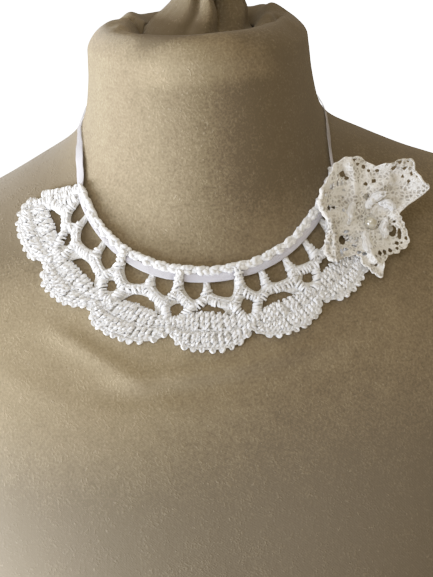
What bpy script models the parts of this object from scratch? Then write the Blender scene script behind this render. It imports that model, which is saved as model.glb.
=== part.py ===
"""A crochet choker on a limbless dress form.

The choker is one crocheted collar: a twisted chain band round the neckline, a mesh of eyelets that
hangs from it, and seven shells that end in small picots. A satin ribbon is threaded under the band
and ties at the back of the neck. A gathered lace rosette with a pearl is sewn over the right end.

The collar is designed flat. A place on it is (s, v): s runs round the neckline from the front, to
the wearer's left, and v runs outwards from the band's top edge. The lay functions bend that pattern
round the form, at a given height over its surface. Tables are in millimetres and degrees.
"""

import math

import bmesh
import bpy
import numpy as np
from mathutils import Vector
from mathutils.bvhtree import BVHTree
from mathutils.geometry import delaunay_2d_cdt

MM = 0.001

# The dress form, as level sections from the waist, over the neck's rolled lip and into its hollow.
# Columns: name, half width, depth in front, depth behind, height in front, height at the side,
# height behind, squareness (2 is an ellipse).
FORM_RINGS = [
    ("waist", 124, 92, 84, 0, 0, 0, 2.3),
    ("ribs", 133, 101, 91, 70, 70, 70, 2.3),
    ("under_bust", 145, 116, 99, 140, 140, 140, 2.3),
    ("bust", 156, 130, 104, 205, 210, 215, 2.3),
    ("chest", 168, 118, 108, 275, 285, 295, 2.3),
    ("armpit", 180, 101, 109, 325, 345, 360, 2.25),
    ("shoulder", 184, 90, 104, 352, 388, 402, 2.2),
    ("tip", 172, 83, 96, 368, 408, 424, 2.1),
    ("slope", 134, 76, 84, 384, 425.5, 442, 2.05),
    ("trapezius", 96, 69, 75, 399, 443.5, 456, 2.0),
    ("neckline", 72, 63.5, 66, 413, 458, 467, 2.0),
    ("neck_root", 63.2, 60, 62, 425, 469, 476, 2.0),
    ("neck_low", 58.6, 58, 59, 447, 483, 487, 2.0),
    ("neck_middle", 56.6, 57, 57, 475, 496, 498, 2.0),
    ("rim_edge", 56, 56, 56, 500, 504, 504, 2.0),
    ("rim_round", 55.2, 55, 55, 508.5, 511.5, 511.5, 2.0),
    ("rim_top", 52, 52, 52, 516.8, 517.8, 517.8, 2.0),
    ("rim_inner", 46, 46, 46, 521.3, 521.6, 521.6, 2.0),
    ("hollow_edge", 38, 38, 38, 519.5, 520.5, 521, 2.0),
    ("hollow", 29, 29, 29, 513, 515, 517, 2.0),
]
FORM_SEGMENTS = 52
# Faces of the form between one section and the next, from the waist up.
FORM_STEPS = (3, 3, 3, 3, 2, 2, 2, 3, 3, 2, 2, 3, 2, 2, 1, 2, 2, 2, 1)

# The gathered end of the form's cover, tied in the hollow. Columns: height over the hollow, radius,
# depth of the flutes.
GATHER_RINGS = [
    (0.4, 27.0, 0.3),
    (3.5, 25.5, 1.0),
    (8.5, 22.8, 1.6),
    (14.0, 19.0, 1.8),
    (19.5, 15.2, 2.0),
    (27.0, 13.6, 2.2),
    (34.0, 15.4, 2.8),
    (41.0, 20.0, 3.4),
]
GATHER_SEGMENTS = 36
GATHER_FLUTES = 9

# How far the band's top edge lies below the neckline section, by place along the neckline.
BAND_PATH = [
    (-106.0, -8.0),
    (-84.0, -4.0),
    (-60.0, 1.5),
    (-35.0, 2.4),
    (0.0, 0.0),
    (30.0, -1.0),
    (60.0, -4.9),
    (90.0, -9.0),
]
BAND_ENDS = (-87.6, 79.0)
BAND_WIDTH = 3.4
BAND_STEP = 3.0
BAND_TWIST = 9.0
BAND_SIDES = 1.9
BAND_CROWN = 3.0
# How far the twist swings the crown across, as a share of the width, and the sides up and down.
BAND_SWING = 0.2
BAND_SIDE_SWING = 0.35
BAND_BEVEL = 0.1

# The stitch column between two shells. Columns: name, post (s at the band), knot (s) and drop (v)
# where the post meets the zigzag, eye (s) and eye_drop (v) of the small hole below, its width and
# height, tie (s where the mesh ends between the shells), foot (s) and foot_drop (v) of the notch
# between the shells' outer edges.
JOINS = [
    ("join_1_2", -74.5, -73.5, 11.8, -72.5, 20.0, 7.4, 7.6, -68.6, -69.2, 35.0),
    ("join_2_3", -47.0, -44.8, 11.4, -42.6, 20.9, 8.6, 6.8, -39.6, -42.4, 34.2),
    ("join_3_4", -19.9, -18.4, 11.8, -16.2, 22.1, 9.6, 7.6, -16.0, -14.8, 34.4),
    ("join_4_5", 6.4, 5.6, 11.6, 6.3, 21.6, 8.8, 8.6, 5.8, 5.0, 33.9),
    ("join_5_6", 29.4, 27.2, 13.6, 31.2, 21.2, 9.8, 6.6, 28.6, 27.4, 34.8),
    ("join_6_7", 55.5, 54.0, 13.5, 54.0, 21.4, 8.6, 7.2, 52.0, 51.0, 35.0),
]
# The stitch column over the middle of each shell. Columns: name, post, knot, drop, arch (v of the
# mesh's lower edge over the crescent gap), crown (v of the shell's top), tip (v of its outer edge).
MIDDLES = [
    ("shell_1", -84.4, -84.0, 13.0, 18.2, 24.0, 41.6),
    ("shell_2", -58.4, -56.8, 13.2, 18.4, 24.6, 41.8),
    ("shell_3", -31.4, -29.4, 13.2, 18.8, 25.0, 43.6),
    ("shell_4", -7.8, -7.2, 13.8, 17.8, 22.9, 40.8),
    ("shell_5", 16.9, 15.2, 15.6, 19.9, 25.0, 40.6),
    ("shell_6", 41.9, 39.6, 15.2, 19.6, 24.8, 41.4),
    ("shell_7", 68.5, 67.0, 14.0, 18.6, 24.4, 41.0),
]
# The collar's two ends. Columns: name, s at the band, s under the mesh, s and v at the corner.
COLLAR_ENDS = [
    ("left_end", -91.4, -101.0, -103.6, 33.5),
    ("right_end", 79.4, 86.0, 88.0, 33.5),
]

# The gap between neighbouring solids, and that between the collar and the form.
SEAM = 0.3
LIFT = 0.6

# The eyelet mesh: half widths of its posts and bars, how far its zigzag's points rise over its
# turns, how far they spread beside the posts, and where it ends between two shells.
MESH_TOP = BAND_WIDTH + SEAM
POST_HALF = 1.5
THREADED_POST_HALF = 2.1
BAR_HALF = 2.2
ZIGZAG_RISE = 3.3
KNOT_SPREAD = 0.4
TURN_RISE = 1.6
JOIN_DROP = 28.0
CORNER_CUTS = (0.2, 0.25)
# Where the mesh rests on a shell's top, from the shell's side to the crescent gap.
SHELL_TOUCHES = (1.0, 0.84, 0.68)
# The crescent gap over a shell. Columns: place across the shell, distance below the arch, or None
# where the gap ends on the shell.
CRESCENT = [(0.54, None), (0.36, 1.0), (0.12, 0.0)]
# Corners of the small hole below a join, in half widths and half heights.
EYE_CORNERS = [(-0.95, 0.15), (-0.1, -1.05), (0.95, -0.35), (0.75, 0.75), (-0.4, 1.0)]
# Points raised along each kind of bar, and how far they stay inside its ends.
POST_POINTS, BAR_POINTS, LEG_POINTS, END_POINTS = 5, 3, 2, 7
POST_INSET, KNOT_INSET, END_INSET = 0.6, 1.4, 2.6
# The raised points beside the collar's ends, by share of the way out and place downwards.
END_ROW = [(0.55, 20.0), (0.8, 21.1), (1.0, 22.0)]

# Heights over the form.
EDGE_HEIGHT = 1.8
CORD_HEIGHTS = (2.5, 2.9)
THREADED_POST_HEIGHT = 3.9
UNDER_RIBBON_HEIGHT = 1.7
RIBBON_THICKNESS = 1.0
RIBBON_REACH = 9.6

# The shells: ribs across each, share of the way out and height of each row, how far the ribs stand
# over the valleys, how far the sides drop, and the powers that shape the upper and outer edges.
SHELL_RIBS = 11
SHELL_ROWS = [(0.0, 1.7), (0.28, 2.6), (0.52, 2.1), (0.8, 2.7), (1.0, 1.9)]
SHELL_RIDGE = 0.3
SHELL_SIDE_DROP = 0.5
SHELL_SIDE_GAP = 0.18
SHELL_PICOT = 1.0
SHELL_TOP_POWER = 2.2
SHELL_TIP_POWER = 3

# Stretches of the ribbon that show in front, as it passes over some posts and under others.
# Columns: name, from s, to s, v of its middle, width, height of its inner face.
RIBBON_FRONT = [
    ("ribbon_front_left", -90.8, -50.6, 5.8, 3.9, 2.15),
    ("ribbon_front_middle", -43.2, -23.6, 5.8, 3.8, 2.15),
    ("ribbon_front_centre", -16.4, 3.0, 5.8, 3.8, 2.15),
    ("ribbon_front_right", 12.6, 78.8, 5.7, 3.7, 2.15),
]
# The ribbon's way up the neck and round to the back, drawn narrow where it leaves the right end.
# Columns: s, distance below the neckline, width.
RIBBON_LEFT = [
    (-91.2, -4.6, 5.4),
    (-97.0, -7.9, 5.8),
    (-105.0, -11.4, 6.0),
    (-114.0, -13.4, 6.0),
    (-125.0, -13.8, 6.0),
    (-137.0, -16.0, 6.0),
    (-150.0, -22.5, 6.0),
    (-164.0, -30.5, 6.0),
    (-178.0, -36.6, 6.0),
    (-192.0, -38.5, 6.0),
]
RIBBON_RIGHT = [
    (80.7, -4.2, 2.4),
    (86.6, -8.4, 2.4),
    (92.8, -12.2, 2.4),
    (100.8, -15.2, 2.8),
    (110.0, -15.8, 3.6),
    (121.0, -15.0, 4.8),
    (134.0, -17.0, 5.8),
    (148.0, -23.5, 6.0),
    (163.0, -31.5, 6.0),
    (178.0, -37.0, 6.0),
    (192.0, -38.5, 6.0),
]
RIBBON_SIDE_HEIGHT = 1.2
RIBBON_BACK_LEVEL = -38.5
RIBBON_STEP = 5.0
KNOT_SIZE = (9.0, 7.5, 4.0)
KNOT_GAP = 0.6
KNOT_LIFT = 0.9
KNOT_BEVEL = 0.22
# The ribbon's two ends below the knot. Columns: name, side, length, splay at the end.
RIBBON_TAILS = [
    ("ribbon_tail_left", -1, 62.0, 15.0),
    ("ribbon_tail_right", 1, 54.0, 19.0),
]
TAIL_WIDTH = 5.4
TAIL_START = 4.0
TAIL_HEIGHT = 1.4
TAIL_SWELL = 1.2
TAIL_SPLAY_POWER = 1.3

# The lace rosette: where its middle lies, and its edge from the wearer's left, turning upwards.
# Columns: angle, reach, lift of the edge over the rosette's base.
FLOWER_PLACE = (68.5, 22.7)
FLOWER_TURN = 0.62
FLOWER_EDGE = [
    (4, 14.6, 4.9),
    (12, 14.4, 5.6),
    (17, 17.2, 6.0),
    (20, 23.0, 6.4),
    (22.5, 31.5, 6.8),
    (25, 33.1, 7.1),
    (29, 32.5, 7.6),
    (35, 32.2, 8.0),
    (40, 32.6, 8.2),
    (46, 34.2, 8.5),
    (51, 35.7, 8.8),
    (55, 35.2, 9.0),
    (60, 33.0, 9.0),
    (65, 30.8, 8.4),
    (71, 29.1, 7.0),
    (78, 27.8, 5.8),
    (84, 27.8, 5.4),
    (91, 30.8, 5.7),
    (98, 33.0, 6.8),
    (105, 34.1, 8.0),
    (112, 34.7, 8.6),
    (120, 34.2, 9.0),
    (128, 32.3, 9.2),
    (138, 31.6, 9.5),
    (150, 30.2, 9.4),
    (157, 28.6, 9.1),
    (163, 26.0, 8.7),
    (169, 23.3, 8.2),
    (177, 21.7, 7.5),
    (186, 22.7, 7.3),
    (193, 25.3, 7.6),
    (200, 27.6, 8.1),
    (206, 29.0, 8.6),
    (211, 28.3, 8.9),
    (216, 25.9, 8.9),
    (220, 22.6, 8.6),
    (225, 20.1, 8.1),
    (232, 18.2, 6.9),
    (240, 18.3, 6.0),
    (248, 21.1, 5.8),
    (257, 22.7, 6.4),
    (262, 24.5, 6.9),
    (266, 26.1, 7.3),
    (270, 25.6, 7.5),
    (273, 22.7, 7.6),
    (277, 20.0, 7.3),
    (284, 18.3, 6.4),
    (292, 17.6, 5.2),
    (303, 19.4, 4.9),
    (312, 20.2, 5.5),
    (321, 21.6, 6.3),
    (328, 21.0, 6.5),
    (337, 18.9, 6.0),
    (351, 16.5, 4.7),
]
FLOWER_SEGMENTS = 80
FLOWER_RINGS = (0.0, 0.34, 0.67, 1.0)
FLOWER_EYE = 3.0
FLOWER_WALL = 1.1
FLOWER_CLEARANCE = 4.4
FLOWER_DISH = 2.0
FLOWER_LIFT_POWER = 1.4
# The lace waves round the pearl: height, number of waves and start.
FLOWER_WAVE = 1.1
FLOWER_WAVES = 5
FLOWER_WAVE_START = 0.6
# How far over the rosette's base the form is looked for from.
LOOK_FROM = 60.0
# The folded loops of lace round the pearl. Columns: name, angle and distance of the middle, half
# length, direction of the length.
FLOWER_LOOPS = [
    ("upper_left", 71, 11.2, 5.4, 31),
    ("left", 36, 11.6, 3.4, -32),
    ("lower_left", 333, 8.2, 3.8, 80),
    ("lower", 250, 10.5, 5.2, 92),
    ("right", 150, 11.0, 4.6, 68),
]
LOOP_RADIUS = 1.25
LOOP_SEAT = 0.45
LOOP_BEND = 1.2
LOOP_THINNING = 0.35
LOOP_SECTIONS = 7
LOOP_SIDES = 8
PEARL_RADIUS = 3.3
PEARL_TOUCHES = 8

COLOURS = {
    # slot: base colour, roughness
    "jersey": ((0.37, 0.29, 0.20, 1.0), 0.9),
    "cotton": ((0.80, 0.79, 0.76, 1.0), 0.85),
    "satin": ((0.80, 0.77, 0.80, 1.0), 0.35),
    "lace": ((0.72, 0.69, 0.64, 1.0), 0.85),
    "pearl": ((0.78, 0.76, 0.66, 1.0), 0.22),
}


def clear_scene():
    for item in list(bpy.data.objects):
        bpy.data.objects.remove(item, do_unlink=True)


def material(slot):
    """One Principled material for a slot, made once."""
    found = bpy.data.materials.get(slot)
    if found:
        return found
    made = bpy.data.materials.new(slot)
    made.use_nodes = True
    shader = made.node_tree.nodes["Principled BSDF"]
    colour, roughness = COLOURS[slot]
    shader.inputs["Base Color"].default_value = colour
    shader.inputs["Roughness"].default_value = roughness
    return made


def add_object(name, slot, mesh):
    """Close a bmesh into an object with outward faces and its own material."""
    bmesh.ops.recalc_face_normals(mesh, faces=mesh.faces[:])
    if mesh.calc_volume(signed=True) < 0:
        bmesh.ops.reverse_faces(mesh, faces=mesh.faces[:])
    data = bpy.data.meshes.new(name)
    mesh.to_mesh(data)
    mesh.free()
    data.shade_smooth()
    data.set_sharp_from_angle(angle=math.radians(50))
    item = bpy.data.objects.new(name, data)
    data.materials.append(material(slot))
    bpy.context.collection.objects.link(item)
    return item


class Spline:
    """A natural cubic spline through the rows of a table."""

    def __init__(self, knots, values):
        self.knots = np.asarray(knots, float)
        self.values = np.asarray(values, float)
        gaps = np.diff(self.knots)
        count = len(self.knots)
        system = np.eye(count)
        bends = np.zeros_like(self.values)
        for i in range(1, count - 1):
            system[i, i - 1] = gaps[i - 1]
            system[i, i] = 2 * (gaps[i - 1] + gaps[i])
            system[i, i + 1] = gaps[i]
            ahead = (self.values[i + 1] - self.values[i]) / gaps[i]
            behind = (self.values[i] - self.values[i - 1]) / gaps[i - 1]
            bends[i] = 6 * (ahead - behind)
        self.bends = np.linalg.solve(system, bends)

    def __call__(self, at):
        at = np.clip(np.asarray(at, float), self.knots[0], self.knots[-1])
        i = np.clip(np.searchsorted(self.knots, at) - 1, 0, len(self.knots) - 2)
        gap = self.knots[i + 1] - self.knots[i]
        left = (self.knots[i + 1] - at) / gap
        right = (at - self.knots[i]) / gap
        curve_left = (left**3 - left) * gap**2 / 6
        curve_right = (right**3 - right) * gap**2 / 6
        if self.values.ndim > 1:
            left, right = left[..., None], right[..., None]
            curve_left, curve_right = curve_left[..., None], curve_right[..., None]
        straight = left * self.values[i] + right * self.values[i + 1]
        return straight + curve_left * self.bends[i] + curve_right * self.bends[i + 1]


class DressForm:
    """The form's smooth surface, by height along its profile and angle from the front."""

    def __init__(self):
        rows = np.array([row[1:] for row in FORM_RINGS], float)
        side = rows[:, [0, 4]]
        front = rows[:, [1, 3]]
        steps = (np.linalg.norm(np.diff(side, axis=0), axis=1)
                 + np.linalg.norm(np.diff(front, axis=0), axis=1)) / 2
        self.knots = np.concatenate([[0.0], np.cumsum(steps)])
        self.sections = Spline(self.knots, rows)
        # The origin is midway between the fullest points in front and behind.
        self.shift = 0.0
        turn = np.linspace(-math.pi, math.pi, 121)
        body = self.point(*np.meshgrid(np.linspace(0, self.knots[-1], 120), turn))
        self.shift = -(body[..., 1].min() + body[..., 1].max()) / 2

    def level(self, name):
        return self.knots[[row[0] for row in FORM_RINGS].index(name)]

    def point(self, level, angle):
        values = self.sections(level)
        half, front, behind, z_front, z_side, z_behind, square = np.moveaxis(values, -1, 0)
        across, along = np.sin(angle), np.cos(angle)
        depth = np.where(along > 0, front, behind)
        power = 2 / square
        x = half * np.sign(across) * np.abs(across) ** power
        y = -depth * np.sign(along) * np.abs(along) ** power + self.shift
        middle = (z_front + z_behind) / 2
        z = ((middle + z_side) / 2 + (z_front - z_behind) / 2 * along
             + (middle - z_side) / 2 * np.cos(2 * angle))
        return np.stack([x, y, z], axis=-1)

    def normal(self, level, angle):
        small = 0.02
        up = self.point(level + small, angle) - self.point(level - small, angle)
        round_way = self.point(level, angle + small / 40) - self.point(level, angle - small / 40)
        normal = np.cross(round_way, up)
        return normal / np.linalg.norm(normal, axis=-1, keepdims=True)


class Neckline:
    """Turns places on the flat collar into places round the form's neck."""

    def __init__(self, form):
        self.form = form
        self.angles = np.radians(np.linspace(-180, 180, 721))
        base = form.level("neckline")
        ring = form.point(np.full_like(self.angles, base), self.angles)
        lengths = np.concatenate([[0], np.cumsum(np.linalg.norm(np.diff(ring, axis=0), axis=1))])
        self.half = lengths[-1] / 2
        self.along = lengths - self.half
        self.levels = np.linspace(form.level("shoulder"), form.level("rim_edge"), 360)
        grid = form.point(*np.meshgrid(self.levels, self.angles, indexing="ij"))
        steps = np.linalg.norm(np.diff(grid, axis=0), axis=2)
        height = np.vstack([np.zeros(len(self.angles)), np.cumsum(steps, axis=0)])
        at_base = np.array([np.interp(base, self.levels, column) for column in height.T])
        self.below = at_base[None, :] - height
        self.path = Spline(*zip(*BAND_PATH))

    def spot(self, s, below):
        """Level and angle of the place at s, a distance below the neckline section."""
        column = np.interp(s, self.along, np.arange(len(self.along)))
        angle = np.interp(s, self.along, self.angles)
        levels = []
        for place, drop in zip(np.atleast_1d(column), np.atleast_1d(below)):
            first = min(int(place), len(self.along) - 2)
            part = place - first
            one = np.interp(-drop, -self.below[:, first], self.levels)
            two = np.interp(-drop, -self.below[:, first + 1], self.levels)
            levels.append(one * (1 - part) + two * part)
        return np.array(levels), np.atleast_1d(angle)

    def over_form(self, s, below, height):
        """Points at a height over the form, from distances along and below the neckline."""
        s, below, height = np.broadcast_arrays(*np.atleast_1d(s, below, height))
        level, angle = self.spot(s, below)
        return self.form.point(level, angle) + self.form.normal(level, angle) * height[:, None]

    def lay(self, s, v, height):
        """Points of the collar, from its flat pattern."""
        s = np.atleast_1d(np.asarray(s, float))
        return self.over_form(s, self.path(s) + v, height)

    def stretch(self, s, v):
        """Length on the form of one millimetre of s, at v."""
        two = self.lay(np.array([s - 0.5, s + 0.5]), np.array([v, v]), 0.0)
        return float(np.linalg.norm(two[1] - two[0]))

    def beside(self, s, v, offset):
        """The s of a place a real distance to the side of (s, v)."""
        return s + offset / self.stretch(s, v)


def rounded(chain, closed=False):
    """Cut the corners of a chain of points, so that it bends softly."""
    for cut in CORNER_CUTS[:1] if closed else CORNER_CUTS:
        ahead = np.roll(chain, -1, axis=0) if closed else chain[1:]
        here = chain if closed else chain[:-1]
        pairs = np.stack([here * (1 - cut) + ahead * cut, here * cut + ahead * (1 - cut)], axis=1)
        softer = pairs.reshape(-1, 2)
        chain = softer if closed else np.vstack([chain[:1], softer[1:-1], chain[-1:]])
    return chain


def grid_solid(mesh, outer, inner):
    """A closed wall between two grids of points of the same size."""
    rows, columns = outer.shape[:2]
    sheets = []
    for grid in (outer, inner):
        sheets.append([[mesh.verts.new(point * MM) for point in row] for row in grid])
    for sheet in sheets:
        for i in range(rows - 1):
            for j in range(columns - 1):
                mesh.faces.new((sheet[i][j], sheet[i][j + 1], sheet[i + 1][j + 1], sheet[i + 1][j]))
    top, bottom = sheets
    border = [(0, j) for j in range(columns)] + [(i, columns - 1) for i in range(1, rows)]
    border += [(rows - 1, j) for j in range(columns - 2, -1, -1)]
    border += [(i, 0) for i in range(rows - 2, 0, -1)]
    for (i, j), (k, n) in zip(border, border[1:] + border[:1]):
        mesh.faces.new((top[i][j], bottom[i][j], bottom[k][n], top[k][n]))


def swept_solid(mesh, sections):
    """A closed bar through sections that have the same number of points."""
    rings = [[mesh.verts.new(point * MM) for point in section] for section in sections]
    count = len(rings[0])
    for one, two in zip(rings, rings[1:]):
        for i in range(count):
            j = (i + 1) % count
            mesh.faces.new((one[i], one[j], two[j], two[i]))
    mesh.faces.new(rings[0])
    mesh.faces.new(reversed(rings[-1]))


def inside(point, outline):
    """Whether a flat point lies inside a closed outline."""
    x, y = point
    x1, y1 = outline[:, 0], outline[:, 1]
    x2, y2 = np.roll(x1, -1), np.roll(y1, -1)
    crosses = (y1 > y) != (y2 > y)
    where = (x2 - x1) * (y - y1) / np.where(y2 == y1, 1, y2 - y1) + x1
    return bool(np.count_nonzero(crosses & (x < where)) % 2)


def build_form(form):
    """The torso, from its flat base to the hollow in the top of the neck."""
    levels = [form.knots[0]]
    for low, high, steps in zip(form.knots, form.knots[1:], FORM_STEPS):
        levels += [low + (high - low) * (i + 1) / steps for i in range(steps)]
    angles = np.arange(FORM_SEGMENTS) * 2 * math.pi / FORM_SEGMENTS
    mesh = bmesh.new()
    rings = []
    for level in levels:
        points = form.point(np.full(FORM_SEGMENTS, level), angles)
        rings.append([mesh.verts.new(point * MM) for point in points])
    for one, two in zip(rings, rings[1:]):
        for i in range(FORM_SEGMENTS):
            j = (i + 1) % FORM_SEGMENTS
            mesh.faces.new((one[i], one[j], two[j], two[i]))
    mesh.faces.new(reversed(rings[0]))
    centre = np.mean([vert.co for vert in rings[-1]], axis=0)
    middle = mesh.verts.new(centre)
    for i in range(FORM_SEGMENTS):
        mesh.faces.new((rings[-1][i], rings[-1][(i + 1) % FORM_SEGMENTS], middle))
    return add_object("dress_form", "jersey", mesh)


def build_gather(form):
    """The gathered end of the cover: a fluted waist that flares out to a short tuft."""
    angles = np.arange(GATHER_SEGMENTS) * 2 * math.pi / GATHER_SEGMENTS
    rim = form.point(np.full(GATHER_SEGMENTS, form.level("hollow")), angles)
    centre = rim.mean(axis=0)
    mesh = bmesh.new()
    rings = []
    for height, radius, flute in GATHER_RINGS:
        wave = np.cos(GATHER_FLUTES * angles + 0.9 * np.sin(angles))
        reach = radius + flute * wave
        level = (rim[:, 2] - centre[2]) * radius / GATHER_RINGS[0][1] + centre[2] + height
        points = np.stack([centre[0] + reach * np.sin(angles), centre[1] - reach * np.cos(angles),
                           level], axis=1)
        rings.append([mesh.verts.new(point * MM) for point in points])
    for one, two in zip(rings, rings[1:]):
        for i in range(GATHER_SEGMENTS):
            j = (i + 1) % GATHER_SEGMENTS
            mesh.faces.new((one[i], one[j], two[j], two[i]))
    for ring in (rings[0], rings[-1]):
        middle = mesh.verts.new(np.mean([vert.co for vert in ring], axis=0))
        for i in range(GATHER_SEGMENTS):
            mesh.faces.new((ring[i], ring[(i + 1) % GATHER_SEGMENTS], middle))
    return add_object("neck_gather", "jersey", mesh)


def build_band(neckline):
    """The chain band round the neckline, whose crown swings like two twisted strands."""
    start, end = BAND_ENDS
    stations = np.linspace(start, end, round((end - start) / BAND_STEP) + 1)
    sections = []
    for s in stations:
        turn = 2 * math.pi * s / BAND_TWIST
        crown = BAND_WIDTH * (0.5 + BAND_SWING * math.sin(turn))
        upper = BAND_SIDES + BAND_SIDE_SWING * math.cos(turn)
        lower = BAND_SIDES - BAND_SIDE_SWING * math.cos(turn)
        outline = [(0.0, LIFT), (BAND_BEVEL, upper), (crown, BAND_CROWN),
                   (BAND_WIDTH - BAND_BEVEL, lower), (BAND_WIDTH, LIFT)]
        v, height = np.array(outline).T
        sections.append(neckline.lay(np.full(len(v), s), v, height))
    mesh = bmesh.new()
    swept_solid(mesh, sections)
    return add_object("neck_band", "cotton", mesh)


def joins_and_middles():
    """The collar's stitch columns in order, each middle followed by the join on its far side."""
    columns = []
    for i, middle in enumerate(MIDDLES):
        columns.append(("middle", middle[1], middle[2], middle[3]))
        if i < len(JOINS):
            columns.append(("join", JOINS[i][1], JOINS[i][2], JOINS[i][3]))
    return columns


def threaded(post):
    """Whether the ribbon goes under the post at this s, so that the post stands over it."""
    return not any(start < post < end for _, start, end, *_ in RIBBON_FRONT)


def post_half(post):
    return THREADED_POST_HALF if threaded(post) else POST_HALF


def legs(neckline):
    """Where the zigzag turns below, on both sides of each join: pairs of (s, v)."""
    turns = []
    for _, _, _, _, eye, eye_drop, width, *_ in JOINS:
        v = eye_drop - TURN_RISE
        reach = width / 2 + BAR_HALF
        turns.append(((neckline.beside(eye, v, -reach), v), (neckline.beside(eye, v, reach), v)))
    return turns


def shell_corners(index):
    """The shell's two upper corners and two outer corners, as (s, v) pairs."""
    left_end, right_end = COLLAR_ENDS
    if index == 0:
        upper_left, outer_left = (left_end[2], JOIN_DROP), (left_end[3], left_end[4])
    else:
        join = JOINS[index - 1]
        upper_left, outer_left = (join[8], JOIN_DROP), (join[9], join[10])
    if index == len(MIDDLES) - 1:
        upper_right, outer_right = (right_end[2], JOIN_DROP), (right_end[3], right_end[4])
    else:
        join = JOINS[index]
        upper_right, outer_right = (join[8], JOIN_DROP), (join[9], join[10])
    return upper_left, upper_right, outer_left, outer_right


def shell_top(index, across):
    """A place on the shell's upper edge, for across from -1 to 1."""
    (left, low), (right, _), _, _ = shell_corners(index)
    crown = MIDDLES[index][5]
    knot = MIDDLES[index][2]
    middle = knot if index not in (0, len(MIDDLES) - 1) else (left + right) / 2
    s = middle + across * (right - middle if across > 0 else middle - left)
    return s, low - (low - crown) * (1 - abs(across) ** SHELL_TOP_POWER)


def mesh_outline(neckline):
    """The outline of the eyelet mesh: a comb of posts above, a row of arches below."""
    columns = joins_and_middles()
    left_end, right_end = COLLAR_ENDS
    turns = legs(neckline)
    upper = [np.array([(left_end[1], MESH_TOP)])]
    for i, (one, two) in enumerate(zip(columns, columns[1:])):
        joined = turns[i // 2][0] if one[0] == "middle" else turns[i // 2][1]
        half_one, half_two = post_half(one[1]), post_half(two[1])
        low_one, low_two = one[3] - KNOT_SPREAD, two[3] - KNOT_SPREAD
        chain = np.array([
            (neckline.beside(one[1], MESH_TOP, half_one), MESH_TOP),
            (neckline.beside(one[2], low_one, half_one + KNOT_SPREAD), low_one),
            (joined[0], joined[1] - ZIGZAG_RISE),
            (neckline.beside(two[2], low_two, -half_two - KNOT_SPREAD), low_two),
            (neckline.beside(two[1], MESH_TOP, -half_two), MESH_TOP),
        ])
        upper.append(rounded(chain))
    upper.append(np.array([(right_end[1], MESH_TOP)]))
    lower = []
    for index in reversed(range(len(MIDDLES))):
        arch = MIDDLES[index][4]
        points = []
        for across in SHELL_TOUCHES:
            s, v = shell_top(index, across)
            points.append((s, v - SEAM))
        gap = []
        for side, table in ((1, CRESCENT), (-1, CRESCENT[::-1])):
            for across, below in table:
                s, v = shell_top(index, side * across)
                gap.append((s, v - SEAM if below is None else arch + below))
        points += [tuple(point) for point in rounded(np.array(gap))]
        for across in reversed(SHELL_TOUCHES):
            s, v = shell_top(index, -across)
            points.append((s, v - SEAM))
        lower.append(np.array(points))
        if index:
            lower[-1] = lower[-1][:-1]
    return np.vstack(upper + lower)


def eye_outline(neckline, join):
    """The small rounded hole below a join."""
    _, _, _, _, eye, drop, width, height, *_ = join
    reach = width / 2
    rise = height / 2
    places = []
    for x, y in EYE_CORNERS:
        v = drop + y * rise
        places.append((neckline.beside(eye, v, x * reach), v))
    return rounded(np.array(places), closed=True)


def mesh_cords(neckline):
    """Points along the middle of each bar of the mesh, with their heights."""
    columns = joins_and_middles()
    turns = legs(neckline)
    points = []

    def cord(one, two, count, low=False, high=False):
        for i in range(count):
            part = (i + 0.5) / count
            s, v = (one[k] * (1 - part) + two[k] * part for k in (0, 1))
            height = CORD_HEIGHTS[i % 2]
            if v < RIBBON_REACH and low:
                height = UNDER_RIBBON_HEIGHT
            if v < RIBBON_REACH and high:
                height = THREADED_POST_HEIGHT
            points.append((s, v, height))

    for _, post, knot, drop in columns:
        over = threaded(post)
        cord((post, MESH_TOP + POST_INSET), (knot, drop), POST_POINTS, low=not over, high=over)
    for i, (one, two) in enumerate(zip(columns, columns[1:])):
        turn = turns[i // 2][0] if one[0] == "middle" else turns[i // 2][1]
        cord((one[2], one[3] + KNOT_INSET), turn, BAR_POINTS)
        cord(turn, (two[2], two[3] + KNOT_INSET), BAR_POINTS)
    for join, (left, right) in zip(JOINS, turns):
        foot = (join[8], JOIN_DROP - KNOT_INSET)
        cord(left, foot, LEG_POINTS)
        cord(right, foot, LEG_POINTS)
    first, last = columns[0], columns[-1]
    left_end, right_end = COLLAR_ENDS
    for end, column, inward in ((left_end, first, END_INSET), (right_end, last, -END_INSET)):
        top, low = end[1] + inward, end[2] + 2 * inward
        cord((top, MESH_TOP + POST_INSET), (low, JOIN_DROP - END_INSET), END_POINTS, low=True)
        for part, v in END_ROW:
            points.append((low * part + column[2] * (1 - part), v, CORD_HEIGHTS[0]))
    return points


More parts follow.
